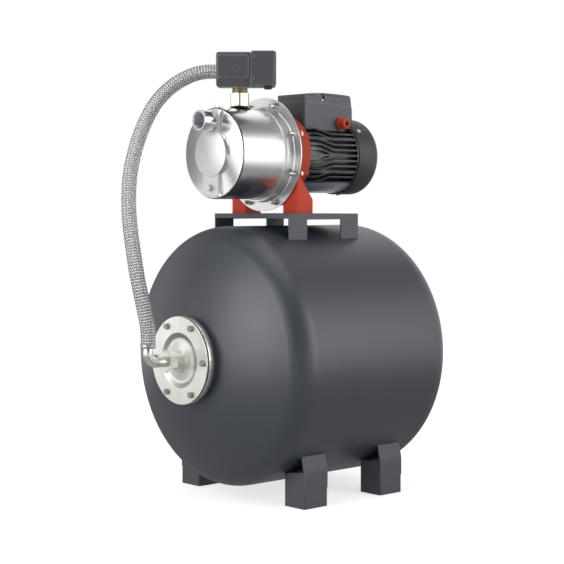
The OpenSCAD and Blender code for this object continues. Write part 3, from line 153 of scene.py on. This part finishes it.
HOSE_ROUTE = [
    (-132, 23, 674), (-143, 33, 674), (-156, 44, 671.5), (-168.5, 54.5, 665.5), (-182, 64, 656.5),
    (-197.5, 73.5, 642), (-213, 80, 623), (-229.5, 81.5, 598), (-246, 79, 569), (-260.5, 73.5, 540),
    (-273.5, 65.5, 511), (-283.5, 55.5, 482), (-291.5, 44.5, 454), (-297.5, 32.5, 425), (-301, 21, 394),
    (-302.5, 11, 362), (-300.5, 4, 332), (-295.8, 0.5, 304), (-291.6, 0, 284), (-290, 0, 268),
    (-290, 0, 255),
]
HOSE_R = 11.6 * MM
BRAID_STEP = 0.55 * MM
BRAID_STRANDS = 16
BRAID_LAY = 68 * MM
STRAND_W = 2.15 * MM
STRAND_POINTS = 5
WEAVE_RISE = 0.55 * MM
STRAND_CROWN = 0.25 * MM
CORE_STEP = 4 * MM
CORE_SIDES = 28
CORE_GAP = 0.1 * MM


def braid_strands(path, marks, mean_r):
    """The two crossing sets of flat strands; their UVs are the place across, from 1 in the second
    set, and the height."""
    verts, faces, uvs = [], [], []
    side, up = path_frames(path)
    n = len(path)
    across = np.linspace(-1, 1, STRAND_POINTS)
    half_angle = STRAND_W / 2 / mean_r / math.cos(math.atan2(2 * math.pi * mean_r, BRAID_LAY))
    weave = np.cos(2 * math.pi * BRAID_STRANDS * marks / BRAID_LAY)
    for turn in (1, -1):
        lift = WEAVE_RISE * weave * turn
        for k in range(BRAID_STRANDS):
            center = 2 * math.pi * (k / BRAID_STRANDS + turn * marks / BRAID_LAY)
            strip = []
            for a in across:
                angle = center + a * half_angle
                radius = mean_r + lift + STRAND_CROWN * (1 - a * a)
                around = np.cos(angle)[:, None] * side + np.sin(angle)[:, None] * up
                strip.append(path + radius[:, None] * around)
            verts.append(np.stack(strip, axis=1).reshape(-1, 3))
            index = np.arange(n * STRAND_POINTS).reshape(n, -1) + (len(verts) - 1) * n * STRAND_POINTS
            quads = np.stack([index[:-1, :-1], index[1:, :-1], index[1:, 1:], index[:-1, 1:]], axis=-1)
            faces.append(quads.reshape(-1, 4))
            places = [np.tile((across + 1) / 2 + (turn < 0), n),
                      np.repeat((1 + weave * turn) / 2, STRAND_POINTS)]
            uvs.append(np.stack(places, axis=1))
    return np.concatenate(verts), np.concatenate(faces), np.concatenate(uvs)


def quad_mesh(name, verts, quads, uvs, uv_name, material):
    """A smooth mesh of quads from arrays, with a UV place for each vertex."""
    mesh = bpy.data.meshes.new(name)
    mesh.vertices.add(len(verts))
    mesh.vertices.foreach_set("co", verts.astype(np.float32).ravel())
    mesh.loops.add(quads.size)
    mesh.loops.foreach_set("vertex_index", quads.astype(np.int32).ravel())
    mesh.polygons.add(len(quads))
    mesh.polygons.foreach_set("loop_start", np.arange(0, quads.size, 4, dtype=np.int32))
    mesh.polygons.foreach_set("use_smooth", np.ones(len(quads), bool))
    layer = mesh.uv_layers.new(name=uv_name)
    layer.data.foreach_set("uv", uvs[quads.ravel()].astype(np.float32).ravel())
    mesh.update(calc_edges=True)
    mesh.materials.append(material)
    return mesh


def make_hose(braid_material, core_material):
    route = [np.array(p) * MM for p in HOSE_ROUTE]
    path, marks = smooth_path(route, BRAID_STEP)
    strands = braid_strands(path, marks, HOSE_R - WEAVE_RISE - STRAND_CROWN)
    braid = add_object("hose_braid", quad_mesh("hose_braid", *strands, "strand", braid_material))
    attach(braid, "root")
    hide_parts("hose")

    core_path, _ = smooth_path(route, CORE_STEP)
    core_r = HOSE_R - 2 * WEAVE_RISE - STRAND_CROWN - CORE_GAP
    core = make_tube("hose_core", core_path, core_r, CORE_SIDES, core_material)


# Colours and node graphs


def linear(r, g, b):
    """An sRGB colour of 0 to 255 as linear values."""
    def one(c):
        c /= 255
        return c / 12.92 if c <= 0.04045 else ((c + 0.055) / 1.055) ** 2.4
    return (one(r), one(g), one(b), 1.0)


def scaled(color, k):
    return tuple(min(1, c * k) for c in color[:3]) + (1.0,)


def grey(level):
    return (level, level, level, 1.0)


class Graph:
    """The node tree of a material or a world, with short ways to add to it."""

    def __init__(self, owner):
        owner.use_nodes = True
        self.nodes = owner.node_tree.nodes
        self.links = owner.node_tree.links

    def feed(self, socket, value):
        """Sets an input to a constant, or links it to another node's output."""
        if isinstance(value, bpy.types.NodeSocket):
            self.links.new(value, socket)
        else:
            socket.default_value = value

    def add(self, kind, inputs=None, **settings):
        """A new node with its settings, and its inputs by name or number."""
        node = self.nodes.new("ShaderNode" + kind)
        for name, value in settings.items():
            setattr(node, name, value)
        for name, value in (inputs or {}).items():
            self.feed(node.inputs[name], value)
        return node

    def set_shader(self, values):
        for name, value in values.items():
            self.feed(self.nodes["Principled BSDF"].inputs[name], value)

    def recolor(self, share, tone, blend="MIX"):
        """Mixes a tone into the colour that the shader has so far."""
        color = self.nodes["Principled BSDF"].inputs["Base Color"]
        self.feed(color, self.mix(share, color.links[0].from_socket, tone, blend))

    def object_place(self):
        return self.add("TexCoord").outputs["Object"]

    def split(self, vector):
        """The X, Y and Z outputs of a vector."""
        return self.add("SeparateXYZ", {0: vector}).outputs

    def calc(self, operation, *values):
        return self.add("Math", dict(enumerate(values)), operation=operation).outputs[0]

    def vector(self, operation, *values):
        """The result of a vector operation, which is a number for a length or a dot product."""
        node = self.add("VectorMath", dict(enumerate(values)), operation=operation)
        return node.outputs["Value" if operation in ("LENGTH", "DOT_PRODUCT") else "Vector"]

    def noise(self, place, scale, detail=2):
        return self.add("TexNoise", {"Vector": place, "Scale": scale, "Detail": detail}).outputs["Fac"]

    def bump(self, height, strength, depth):
        relief = self.add("Bump", {"Height": height, "Strength": strength, "Distance": depth})
        return relief.outputs["Normal"]

    def mix(self, share, first, second, blend="MIX"):
        colors = {"Factor": share, "A": first, "B": second}
        return self.add("Mix", colors, data_type="RGBA", blend_type=blend).outputs["Result"]

    def map_range(self, value, low, high, to_low=0.0, to_high=1.0, shape="LINEAR"):
        ends = {"From Min": low, "From Max": high, "To Min": to_low, "To Max": to_high}
        return self.add("MapRange", {"Value": value, **ends}, interpolation_type=shape).outputs["Result"]

    def ramp(self, share, stops, low=0, high=1):
        """A colour or grey level by a share of the way from low to high, from (place, tone) stops."""
        node = self.add("ValToRGB", {"Fac": share})
        steps = node.color_ramp.elements
        while len(steps) < len(stops):
            steps.new(0.5)
        for step, (place, tone) in zip(steps, stops):
            step.position = (place - low) / (high - low)
            step.color = tone if isinstance(tone, tuple) else grey(tone)
        return node.outputs["Color"]

    def by_ray(self, kind, otherwise, seen):
        """The shader that rays of one kind see, and the one that the others see."""
        ray = self.add("LightPath").outputs[kind]
        return self.add("MixShader", {0: ray, 1: otherwise, 2: seen}).outputs[0]


# Materials

CLOUD_EDGES = (0.3, 0.7)
CLOUD_DETAIL = 5
GRAIN_DETAIL = 3
GRAIN_DEPTH = 0.3 * MM
SMOOTHEST = 0.02
COAT_ROUGH = 0.25
# Cosines between which a surface counts as turning a corner
CORNER_START = 0.999
CORNER_FULL = 0.95
CORNER_SAMPLES = 4
# Noise that breaks the corners' wear and painted highlight up, and the least share of it in its gaps
PATCH_SCALE = 160
PATCH_EDGES = (0.3, 0.6)
BROKEN_SHARE = 0.1
EVEN_SHARE = 0.85


def corner_share(graph, place, radius, even):
    """Where the surface turns a corner: the share of edge wear and painted highlight, even or broken up
    by noise.
    """
    rounded = graph.add("Bevel", {"Radius": radius}, samples=CORNER_SAMPLES).outputs["Normal"]
    turned = graph.vector("DOT_PRODUCT", rounded, graph.add("NewGeometry").outputs["Normal"])
    corner = graph.map_range(turned, CORNER_START, CORNER_FULL)
    least = EVEN_SHARE if even else BROKEN_SHARE
    patches = graph.map_range(graph.noise(place, PATCH_SCALE), *PATCH_EDGES, to_low=least)
    return graph.calc("MULTIPLY", corner, patches)


def finish(name, color, rough, metal=0.0, spread=0.08, cloud=9.0, grain=900.0, bump=0.1,
           rough_spread=0.06, stretch=(1, 1, 1), coat=0.0, edge_wear_and_highlight=None, edge_r=0.6 * MM,
           edge_even=False, specular=0.5):
    """A material whose colour, roughness and relief vary with noise; corners get a tone of wear and
    painted highlight.
    """
    m = bpy.data.materials.new(name)
    graph = Graph(m)
    place = graph.object_place()
    stretched = graph.add("Mapping", {"Vector": place, "Scale": stretch}).outputs[0]
    clouds = graph.noise(stretched, cloud, CLOUD_DETAIL)
    tones = (scaled(color, 1 - spread), scaled(color, 1 + spread))
    tint = graph.ramp(clouds, list(zip(CLOUD_EDGES, tones)))
    if edge_wear_and_highlight is not None:
        tint = graph.mix(corner_share(graph, place, edge_r, edge_even), tint, edge_wear_and_highlight)
    smooth, dull = max(SMOOTHEST, rough - rough_spread), rough + rough_spread
    graph.set_shader({
        "Base Color": tint, "Metallic": metal, "Specular IOR Level": specular,
        "Coat Weight": coat, "Coat Roughness": COAT_ROUGH,
        "Roughness": graph.map_range(clouds, 0, 1, smooth, dull),
        "Normal": graph.bump(graph.noise(stretched, grain, GRAIN_DETAIL), bump, GRAIN_DEPTH),
    })
    return m


PLATING = {"metal": 0.93, "spread": 0.06, "cloud": 40, "grain": 500, "bump": 0.08, "rough_spread": 0.08}
PLATING_TONE = linear(246, 245, 239)

# Lighter corner tones below are edge wear and painted highlight; on the motor's fin crests and the
# switch's rims they are even, painted highlight only
paint = finish("tank_paint", linear(54, 59, 68), 0.42, spread=0.05, cloud=5, grain=700, bump=0.12,
               specular=0.85)
sheet_paint = finish("sheet_paint", linear(82, 85, 92), 0.48, spread=0.06, grain=700, bump=0.12,
                     edge_wear_and_highlight=linear(120, 122, 128))
stainless_turned = finish("stainless_pipe", linear(226, 226, 228), 0.2, metal=1, spread=0.04,
                          grain=60, stretch=(40, 1, 1), bump=0.05)
plate = finish("zinc_plate", PLATING_TONE, 0.36, **PLATING)
zinc = finish("zinc_bolt", linear(212, 211, 206), 0.3, metal=1, spread=0.12, cloud=120, grain=1200,
              bump=0.08, rough_spread=0.1)
bright_screw = finish("bright_screw", linear(232, 232, 230), 0.42, metal=0.6, spread=0.05, cloud=120,
                      grain=1200, bump=0.05)
dark_zinc = finish("dark_bolt", linear(166, 165, 160), 0.4, metal=1, spread=0.15, cloud=160,
                   grain=1200, bump=0.1, rough_spread=0.1)
nickel = finish("nickel", linear(232, 231, 226), 0.24, metal=0.88, spread=0.05, cloud=60, grain=600,
                bump=0.04, rough_spread=0.05)
crimp_steel = finish("crimp_steel", linear(176, 177, 180), 0.42, metal=1, spread=0.1, cloud=300,
                     grain=900, bump=0.2)
brass = finish("brass", linear(124, 111, 78), 0.38, metal=1, spread=0.12, cloud=70, grain=800, bump=0.06)
casting = finish("bracket_paint", linear(208, 70, 46), 0.48, spread=0.08, cloud=30, grain=420,
                 bump=0.35, rough_spread=0.08, edge_wear_and_highlight=linear(222, 98, 70), specular=0.3)
motor_black = finish("motor_paint", linear(36, 37, 42), 0.3, spread=0.12, cloud=40, grain=500,
                     bump=0.25, rough_spread=0.08, edge_wear_and_highlight=linear(132, 135, 143), edge_r=1.0 * MM,
                     edge_even=True, specular=0.55, coat=0.2)
box_grey = finish("box_plastic", linear(86, 88, 95), 0.38, spread=0.05, cloud=18, grain=1100,
                  bump=0.14, edge_wear_and_highlight=linear(136, 139, 146), edge_r=1.8 * MM)
cover_grey = finish("cover_plastic", linear(58, 59, 63), 0.48, spread=0.05, cloud=18, grain=1100,
                    bump=0.16)
switch_grey = finish("switch_plastic", linear(78, 79, 84), 0.42, spread=0.05, cloud=24, grain=1300,
                     bump=0.1, edge_wear_and_highlight=linear(132, 134, 138), edge_r=2.2 * MM, edge_even=True)
gland_red = finish("gland_plastic", linear(196, 76, 54), 0.42, spread=0.06, cloud=60, grain=1200,
                   bump=0.1, specular=0.35)
thread_steel = finish("thread_steel", linear(196, 200, 208), 0.5, metal=0.7, spread=0.08, cloud=120,
                      grain=900, bump=0.1)
rubber = finish("rubber", linear(28, 28, 29), 0.6, spread=0.15, cloud=60, grain=900, bump=0.2)
steel = finish("steel", linear(160, 160, 162), 0.3, metal=1, spread=0.08, cloud=60, grain=800, bump=0.06)
white_plastic = finish("white_plastic", linear(225, 225, 220), 0.42, spread=0.03, cloud=50, grain=1200,
                       bump=0.08)
black_plastic = finish("black_plastic", linear(34, 34, 36), 0.45, spread=0.1, cloud=50, grain=1000,
                       bump=0.14)
tan_plastic = finish("tan_plastic", linear(200, 164, 110), 0.42, spread=0.05, cloud=50, grain=1000,
                     bump=0.1)
copper = finish("copper", linear(176, 98, 60), 0.35, metal=1, spread=0.2, cloud=200, grain=900, bump=0.4)
ceramic = finish("ceramic", linear(226, 222, 208), 0.3, spread=0.02, cloud=50, grain=900, bump=0.04)
socket_nickel = finish("socket_nickel", linear(218, 217, 211), 0.2, metal=1, spread=0.05, cloud=60,
                       grain=600, bump=0.04)
flange_plate = finish("flange_plate", PLATING_TONE, 0.36, **PLATING)

# Painted shade, shadow and reflection that change with the distance from an axis or a level

SOCKET_FACE_R = 14.7 * MM
SOCKET_CORNER_R = 16.4 * MM
SOCKET_CORNER_PAINTED_SHADE = linear(60, 54, 44)
# The sloping side of the flange's pressed recess, which gets painted shade
SLOPE_INNER_R = 36 * MM
SLOPE_OUTER_R = 42 * MM
SLOPE_BLUR_IN = 2 * MM
SLOPE_BLUR_OUT = 1.5 * MM
SLOPE_PAINTED_SHADE = linear(190, 188, 181)
DRUM_R = 72 * MM
DRUM_BLUR = 12 * MM
DRUM_PAINTED_SHADOW = linear(176, 60, 38)
FINS_HALF_H = 44.4 * MM
FINS_BLUR = 0.6 * MM
SMOOTH_PAINTED_SHEEN = linear(134, 137, 146)


def middle(node):
    low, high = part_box(node)
    return (low + high) / 2


def by_distance(m, center, axes, stops, tone):
    """Mixes tone into the colour of m by the distance from center along the axes marked 1."""
    graph = Graph(m)
    away = graph.vector("SUBTRACT", graph.object_place(), center)
    distance = graph.vector("LENGTH", graph.vector("MULTIPLY", away, axes))
    far = stops[-1][0]
    graph.recolor(graph.ramp(graph.calc("DIVIDE", distance, far), stops, 0, far), tone)


# Painted shade: the hexagon's corners are painted darker than its faces
by_distance(socket_nickel, middle("outlet_socket"), (1, 1, 0),
            [(SOCKET_FACE_R, 0), (SOCKET_CORNER_R, 1)], SOCKET_CORNER_PAINTED_SHADE)
# Painted shade: the recess's slope is painted darker than the plate
by_distance(flange_plate, middle("tank_flange"), (0, 1, 1),
            [(SLOPE_INNER_R - SLOPE_BLUR_IN, 0), (SLOPE_INNER_R, 1), (SLOPE_OUTER_R, 1),
             (SLOPE_OUTER_R + SLOPE_BLUR_OUT, 0)], SLOPE_PAINTED_SHADE)
# Painted shadow: the bracket's drum and flange, in the shade of the casing's rim and the motor, are
# painted darker than its feet
by_distance(casting, middle("motor_shaft"), (0, 1, 1),
            [(DRUM_R, 1), (DRUM_R + DRUM_BLUR, 0)], DRUM_PAINTED_SHADOW)
# Painted reflection: the motor's smooth stretches above and below the fins are painted paler, standing
# in for their sheen
by_distance(motor_black, middle("motor_shaft"), (0, 0, 1),
            [(FINS_HALF_H, 0), (FINS_HALF_H + FINS_BLUR, 1)], SMOOTH_PAINTED_SHEEN)

# The casing, by distance back from its front: raised panel, wings, corner, barrel

CASING_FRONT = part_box("pump_casing")[0][0]
CASING_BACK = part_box("pump_casing")[1][0]
CASING_LENGTH = CASING_BACK - CASING_FRONT
PANEL_BACK = 6.5 * MM
WINGS_FRONT = 8.5 * MM
CASING_ROUGH = [(PANEL_BACK, 0.5), (WINGS_FRONT, 0.18), (13 * MM, 0.18), (15 * MM, 0.25),
                (CASING_LENGTH, 0.32)]
# Painted shade: the raised panel a little darker and a dark line in the corner
CASING_PAINTED_SHADE = [(PANEL_BACK, 0.86), (WINGS_FRONT, 1), (12.0 * MM, 1), (12.7 * MM, 0.12),
                (13.8 * MM, 0.12), (14.8 * MM, 1)]


def casing_steel():
    """Drawn steel: a satin raised panel, polished wings, a less polished barrel; painted shade darkens
    the panel and the corner.
    """
    m = finish("stainless", linear(234, 234, 235), 0.2, metal=1, spread=0.03, cloud=14, bump=0.0)
    graph = Graph(m)
    along = graph.map_range(graph.split(graph.object_place())["X"], CASING_FRONT, CASING_BACK)
    graph.set_shader({"Roughness": graph.ramp(along, CASING_ROUGH, 0, CASING_LENGTH)})
    graph.recolor(1, graph.ramp(along, CASING_PAINTED_SHADE, 0, CASING_LENGTH), "MULTIPLY")
    return m


stainless = casing_steel()

# The hose's braid

WIRES_PER_STRAND = 5
WIRE_DEPTH = 0.1 * MM
WIRE_RELIEF = 0.6
SECOND_SET_PAINTED_SHADE = 0.57
DIVE_PAINTED_SHADE = 0.38
DIVE_EDGES = (0.3, 0.7)


def braid_wire():
    """Flat bundles of fine wires; painted shade where a strand dives, and the second set painted darker.
    """
    m = finish("braid", linear(250, 252, 255), 0.2, metal=0.85, spread=0.06, cloud=500, grain=900,
               bump=0.1, rough_spread=0.06)
    graph = Graph(m)
    place = graph.split(graph.add("UVMap", uv_map="strand").outputs["UV"])
    # Painted shade: darker where a strand dives, and over the whole second set
    height = graph.map_range(place["Y"], *DIVE_EDGES, to_low=DIVE_PAINTED_SHADE)
    in_second_set = graph.calc("GREATER_THAN", place["X"], 1.0)
    dim = graph.calc("MULTIPLY_ADD", in_second_set, SECOND_SET_PAINTED_SHADE - 1, 1.0)
    graph.recolor(1, graph.calc("MULTIPLY", height, dim), "MULTIPLY")
    phase = graph.calc("MULTIPLY", place["X"], WIRES_PER_STRAND * 2 * math.pi)
    graph.set_shader({"Normal": graph.bump(graph.calc("SINE", phase), WIRE_RELIEF, WIRE_DEPTH)})
    return m


hose_rubber = finish("hose_core", linear(20, 20, 22), 0.6, spread=0.1, cloud=90, grain=900, bump=0.1)
make_hose(braid_wire(), hose_rubber)

# Pipe threads cut in the open ports: closed sleeves just inside the plain CAD bores

PIPE_PITCH = 1.814 * MM
THREAD_DEPTH = 0.9 * MM
THREAD_ROWS = 6
THREAD_SIDES = 64
SLEEVE_WALL = 0.1 * MM
SLEEVE_GAP = 0.15 * MM
LEAD_IN = 1.2 * MM
THREADED_SHARE = 0.8


def make_thread(name, mouth, inward, bore_r, length):
    """A female thread from the mouth along inward, as a closed sleeve whose inner wall is the helix."""
    side = inward.orthogonal().normalized()
    up = inward.cross(side)
    rows = int(length / PIPE_PITCH * THREAD_ROWS)
    verts, faces = [], []

    def ring(depth, radius_at):
        for k in range(THREAD_SIDES):
            turn = k / THREAD_SIDES
            angle = 2 * math.pi * turn
            r = radius_at(depth / PIPE_PITCH - turn)
            verts.append(mouth + inward * depth + r * (math.cos(angle) * side + math.sin(angle) * up))

    for i in range(rows + 1):
        ring(i * PIPE_PITCH / THREAD_ROWS, lambda t: bore_r - THREAD_DEPTH * (1 - abs(2 * (t % 1) - 1)))
    for depth in (rows * PIPE_PITCH / THREAD_ROWS, 0):
        ring(depth, lambda t: bore_r + SLEEVE_WALL)
    loops = len(verts) // THREAD_SIDES
    for i in range(loops):
        for k in range(THREAD_SIDES):
            a, b = i * THREAD_SIDES, (i + 1) % loops * THREAD_SIDES
            j = (k + 1) % THREAD_SIDES
            faces.append((a + k, a + j, b + j, b + k))
    piece = new_piece(name, verts, faces, thread_steel, smooth=False)


def thread_port(port, name):
    mount = next(m for m in frame["record"]["mounts"] if m["name"] == port)
    inward = -Vector(mount["axis"])
    mouth = Vector(mount["pos_m"]) + inward * LEAD_IN
    bore_r = mount["dims"]["r_mm"] * MM - SLEEVE_GAP
    make_thread(name, mouth, inward, bore_r, mount["dims"]["length_mm"] * MM * THREADED_SHARE)


thread_port("suction_port", "suction_thread")
thread_port("discharge_port", "discharge_thread")

# Every CAD node's material, and the rounding of its sharp edges in millimetres

LOOKS = {
    "tank_shell": (paint, 0), "tank_neck_ring": (plate, 0.5), "tank_bladder": (rubber, 0),
    "tank_flange": (flange_plate, 0.5), "flange_bolts": (dark_zinc, 0.4),
    "front_left_foot": (sheet_paint, 0.6), "front_right_foot": (sheet_paint, 0.6),
    "rear_left_foot": (sheet_paint, 0.6), "rear_right_foot": (sheet_paint, 0.6),
    "air_valve_stem": (brass, 0.3), "air_valve_pin": (steel, 0), "air_valve_cap": (black_plastic, 0.5),
    "pump_stand": (sheet_paint, 0.5), "stand_bolts": (zinc, 0.4), "pump_casing": (stainless, 0),
    "suction_pipe": (stainless_turned, 0.4), "outlet_socket": (socket_nickel, 0.4),
    "priming_plug": (nickel, 0.4), "drain_plug": (nickel, 0.4), "casing_studs": (zinc, 0.35),
    "casing_o_ring": (rubber, 0), "seal_plate": (stainless_turned, 0.2), "ejector": (black_plastic, 0.4),
    "diffuser": (black_plastic, 0.4), "impeller": (tan_plastic, 0.2), "seal_seat": (ceramic, 0.2),
    "seal_head": (steel, 0.2), "pump_bracket": (casting, 1.2), "motor_housing": (motor_black, 0.35),
    "stator_core": (steel, 0), "stator_windings": (copper, 0), "rotor_core": (steel, 0.3),
    "motor_shaft": (steel, 0.3), "front_bearing": (steel, 0.2), "rear_bearing": (steel, 0.2),
    "rear_endshield": (motor_black, 0.5), "tie_rods": (zinc, 0.3), "cooling_fan": (black_plastic, 0.3),
    "fan_cover": (cover_grey, 0.3), "fan_cover_screws": (bright_screw, 0.4),
    "terminal_box": (box_grey, 0.8), "terminal_lid": (box_grey, 0.8), "lid_screws": (zinc, 0.3),
    "capacitor": (white_plastic, 1.0), "terminal_block": (white_plastic, 0.5),
    "cable_gland": (gland_red, 0.8), "manifold": (brass, 0.6), "switch_nipple": (brass, 0.2),
    "switch_base": (switch_grey, 1.2), "switch_cover": (switch_grey, 1.4),
    "switch_cover_screw": (steel, 0.2), "switch_frame": (zinc, 0.3), "switch_spring": (steel, 0),
    "switch_plunger": (white_plastic, 0.3), "switch_lever": (zinc, 0.2), "switch_grommet": (rubber, 0.5),
    "hose_nut": (nickel, 0.6), "hose_ferrules": (crimp_steel, 0.5), "hose_elbow": (nickel, 0.3),
}
SHARP = math.radians(32)
ROUNDING_SEGMENTS = 2
WELD_REACH = 0.002 * MM


def dress(node, material, round_mm):
    piece = nodes[node]
    piece.data.materials.clear()
    piece.data.materials.append(material)
    if round_mm > 0:
        weld = piece.modifiers.new("weld", "WELD")
        weld.merge_threshold = WELD_REACH
        bevel = piece.modifiers.new("rounding", "BEVEL")
        bevel.width = round_mm * MM
        bevel.segments = ROUNDING_SEGMENTS
        bevel.limit_method = "ANGLE"
        bevel.angle_limit = SHARP
        bevel.harden_normals = True


for node, (material, round_mm) in LOOKS.items():
    dress(node, material, round_mm)

# Floor

FLOOR_HALF = 6.0
FLOOR_DROP = 0.2 * MM
FLOOR_GREY = 0.86
FLOOR_GLOW = 0.68
# Painted shadow: grey level of the floor's glow in reflections, by metres from the object
FLOOR_REFLECTED_PAINTED_SHADOW = [(0, 0.38), (0.5, 0.34), (0.85, 0.26), (1.15, 0.4), (1.5, 0.72), (2.2, 1.1), (3.0, 1.15)]
FLOOR_FAR = 3.0


def glowing_floor():
    """Pale and plain; the camera sees it white up to the faint shadow; polished metal sees
    it glow, with a painted shadow under the object."""
    m = bpy.data.materials.new("floor")
    graph = Graph(m)
    graph.set_shader({"Base Color": grey(FLOOR_GREY), "Roughness": 0.9, "Specular IOR Level": 0.1})
    matt = graph.nodes["Principled BSDF"].outputs[0]
    glow = graph.add("Emission", {"Strength": FLOOR_GLOW}).outputs[0]
    white = graph.add("AddShader", {0: matt, 1: glow}).outputs[0]
    share = graph.calc("DIVIDE", graph.vector("LENGTH", graph.object_place()), FLOOR_FAR)
    levels = graph.ramp(share, FLOOR_REFLECTED_PAINTED_SHADOW, 0, FLOOR_FAR)
    reflected_floor_with_painted_shadow = graph.add("Emission", {"Color": levels}).outputs[0]
    direct = graph.by_ray("Is Camera Ray", matt, white)
    surface = graph.by_ray("Is Glossy Ray", direct, reflected_floor_with_painted_shadow)
    graph.feed(graph.nodes["Material Output"].inputs["Surface"], surface)
    return m


def make_floor():
    h = FLOOR_HALF
    mesh = bpy.data.meshes.new("floor")
    mesh.from_pydata([(-h, -h, 0), (h, -h, 0), (h, h, 0), (-h, h, 0)], [], [(0, 1, 2, 3)])
    mesh.materials.append(glowing_floor())
    floor = add_object("floor", mesh)
    floor.location.z = -FLOOR_DROP


make_floor()

# The studio that polished metal reflects: azimuth in degrees from +X towards +Y, and the walls'
# brightness and height (the sine of the elevation where the dark ceiling starts) there

WALLS = [(-180, 1.2), (-172, 0.8), (-162, 0.25), (-148, 0.06), (-116, 0.06), (-102, 0.5), (-88, 0.95),
         (-74, 1.2), (-45, 1.25), (-15, 1.0), (5, 0.85), (25, 1.2), (46, 1.25), (60, 0.3), (82, 0.3),
         (98, 0.95), (108, 0.7), (115, 0.2), (124.5, 0.18), (128.5, 0.65), (132, 1.35), (180, 1.2)]
WALL_TOPS = [(-180, 0.45), (-100, 0.4), (-60, 0.5), (-20, 0.52), (-5, 0.58), (8, 0.74), (20, 0.88),
             (45, 0.9), (70, 0.75), (105, 0.6), (140, 0.5), (180, 0.45)]
CEILING = [(0.0, 0.2), (0.8, 0.2), (0.92, 0.9), (1.0, 0.9)]
WALL_BLUR = 0.18
DIFFUSE_LEVEL = 0.42


def studio_color(graph):
    """Grey level of the studio in each direction: walls round about, dark ceiling, pale top light."""
    way = graph.split(graph.add("TexCoord").outputs["Generated"])
    turn = graph.calc("MULTIPLY_ADD", graph.calc("ARCTAN2", way["Y"], way["X"]), 0.5 / math.pi, 0.5)
    walls = graph.ramp(turn, WALLS, -180, 180)
    tops = graph.ramp(turn, WALL_TOPS, -180, 180)
    above = graph.map_range(graph.calc("SUBTRACT", way["Z"], tops), -WALL_BLUR, WALL_BLUR,
                            shape="SMOOTHSTEP")
    return graph.mix(above, walls, graph.ramp(way["Z"], CEILING))


def make_world():
    """White behind the object; the studio in its reflections; even light on its matt surfaces."""
    world = bpy.data.worlds.new("studio")
    bpy.context.scene.world = world
    graph = Graph(world)
    back = graph.nodes["Background"]
    graph.feed(back.inputs["Color"], grey(1))
    studio = graph.add("Background", {"Color": studio_color(graph)}).outputs[0]
    soft = graph.add("Background", {"Color": grey(1), "Strength": DIFFUSE_LEVEL}).outputs[0]
    on_object = graph.by_ray("Is Glossy Ray", soft, studio)
    surface = graph.by_ray("Is Camera Ray", on_object, back.outputs[0])
    graph.feed(graph.nodes["World Output"].inputs["Surface"], surface)


make_world()

# Lamps: place, size and watts, all aimed at one point

AIM = Vector((-0.03, 0, 0.35))
LAMPS = {
    "left_softbox": ((-2.48, 0.17, 0.85), (1.6, 2.2), 30),
    "right_softbox": ((0.92, -2.19, 0.95), (1.05, 2.2), 16),
    "top": ((-0.2, -0.3, 2.4), (1.4, 1.4), 6),
}


def make_lamp(name, at, size, watts):
    data = bpy.data.lights.new(name, "AREA")
    data.shape = "RECTANGLE"
    data.size, data.size_y = size
    data.energy = watts
    lamp = add_object(name, data)
    lamp.location = at
    lamp.rotation_euler = (AIM - Vector(at)).to_track_quat("-Z", "Y").to_euler()
    lamp.visible_camera = False


for name, (at, size, watts) in LAMPS.items():
    make_lamp(name, at, size, watts)

bpy.context.scene.view_settings.view_transform = "Standard"
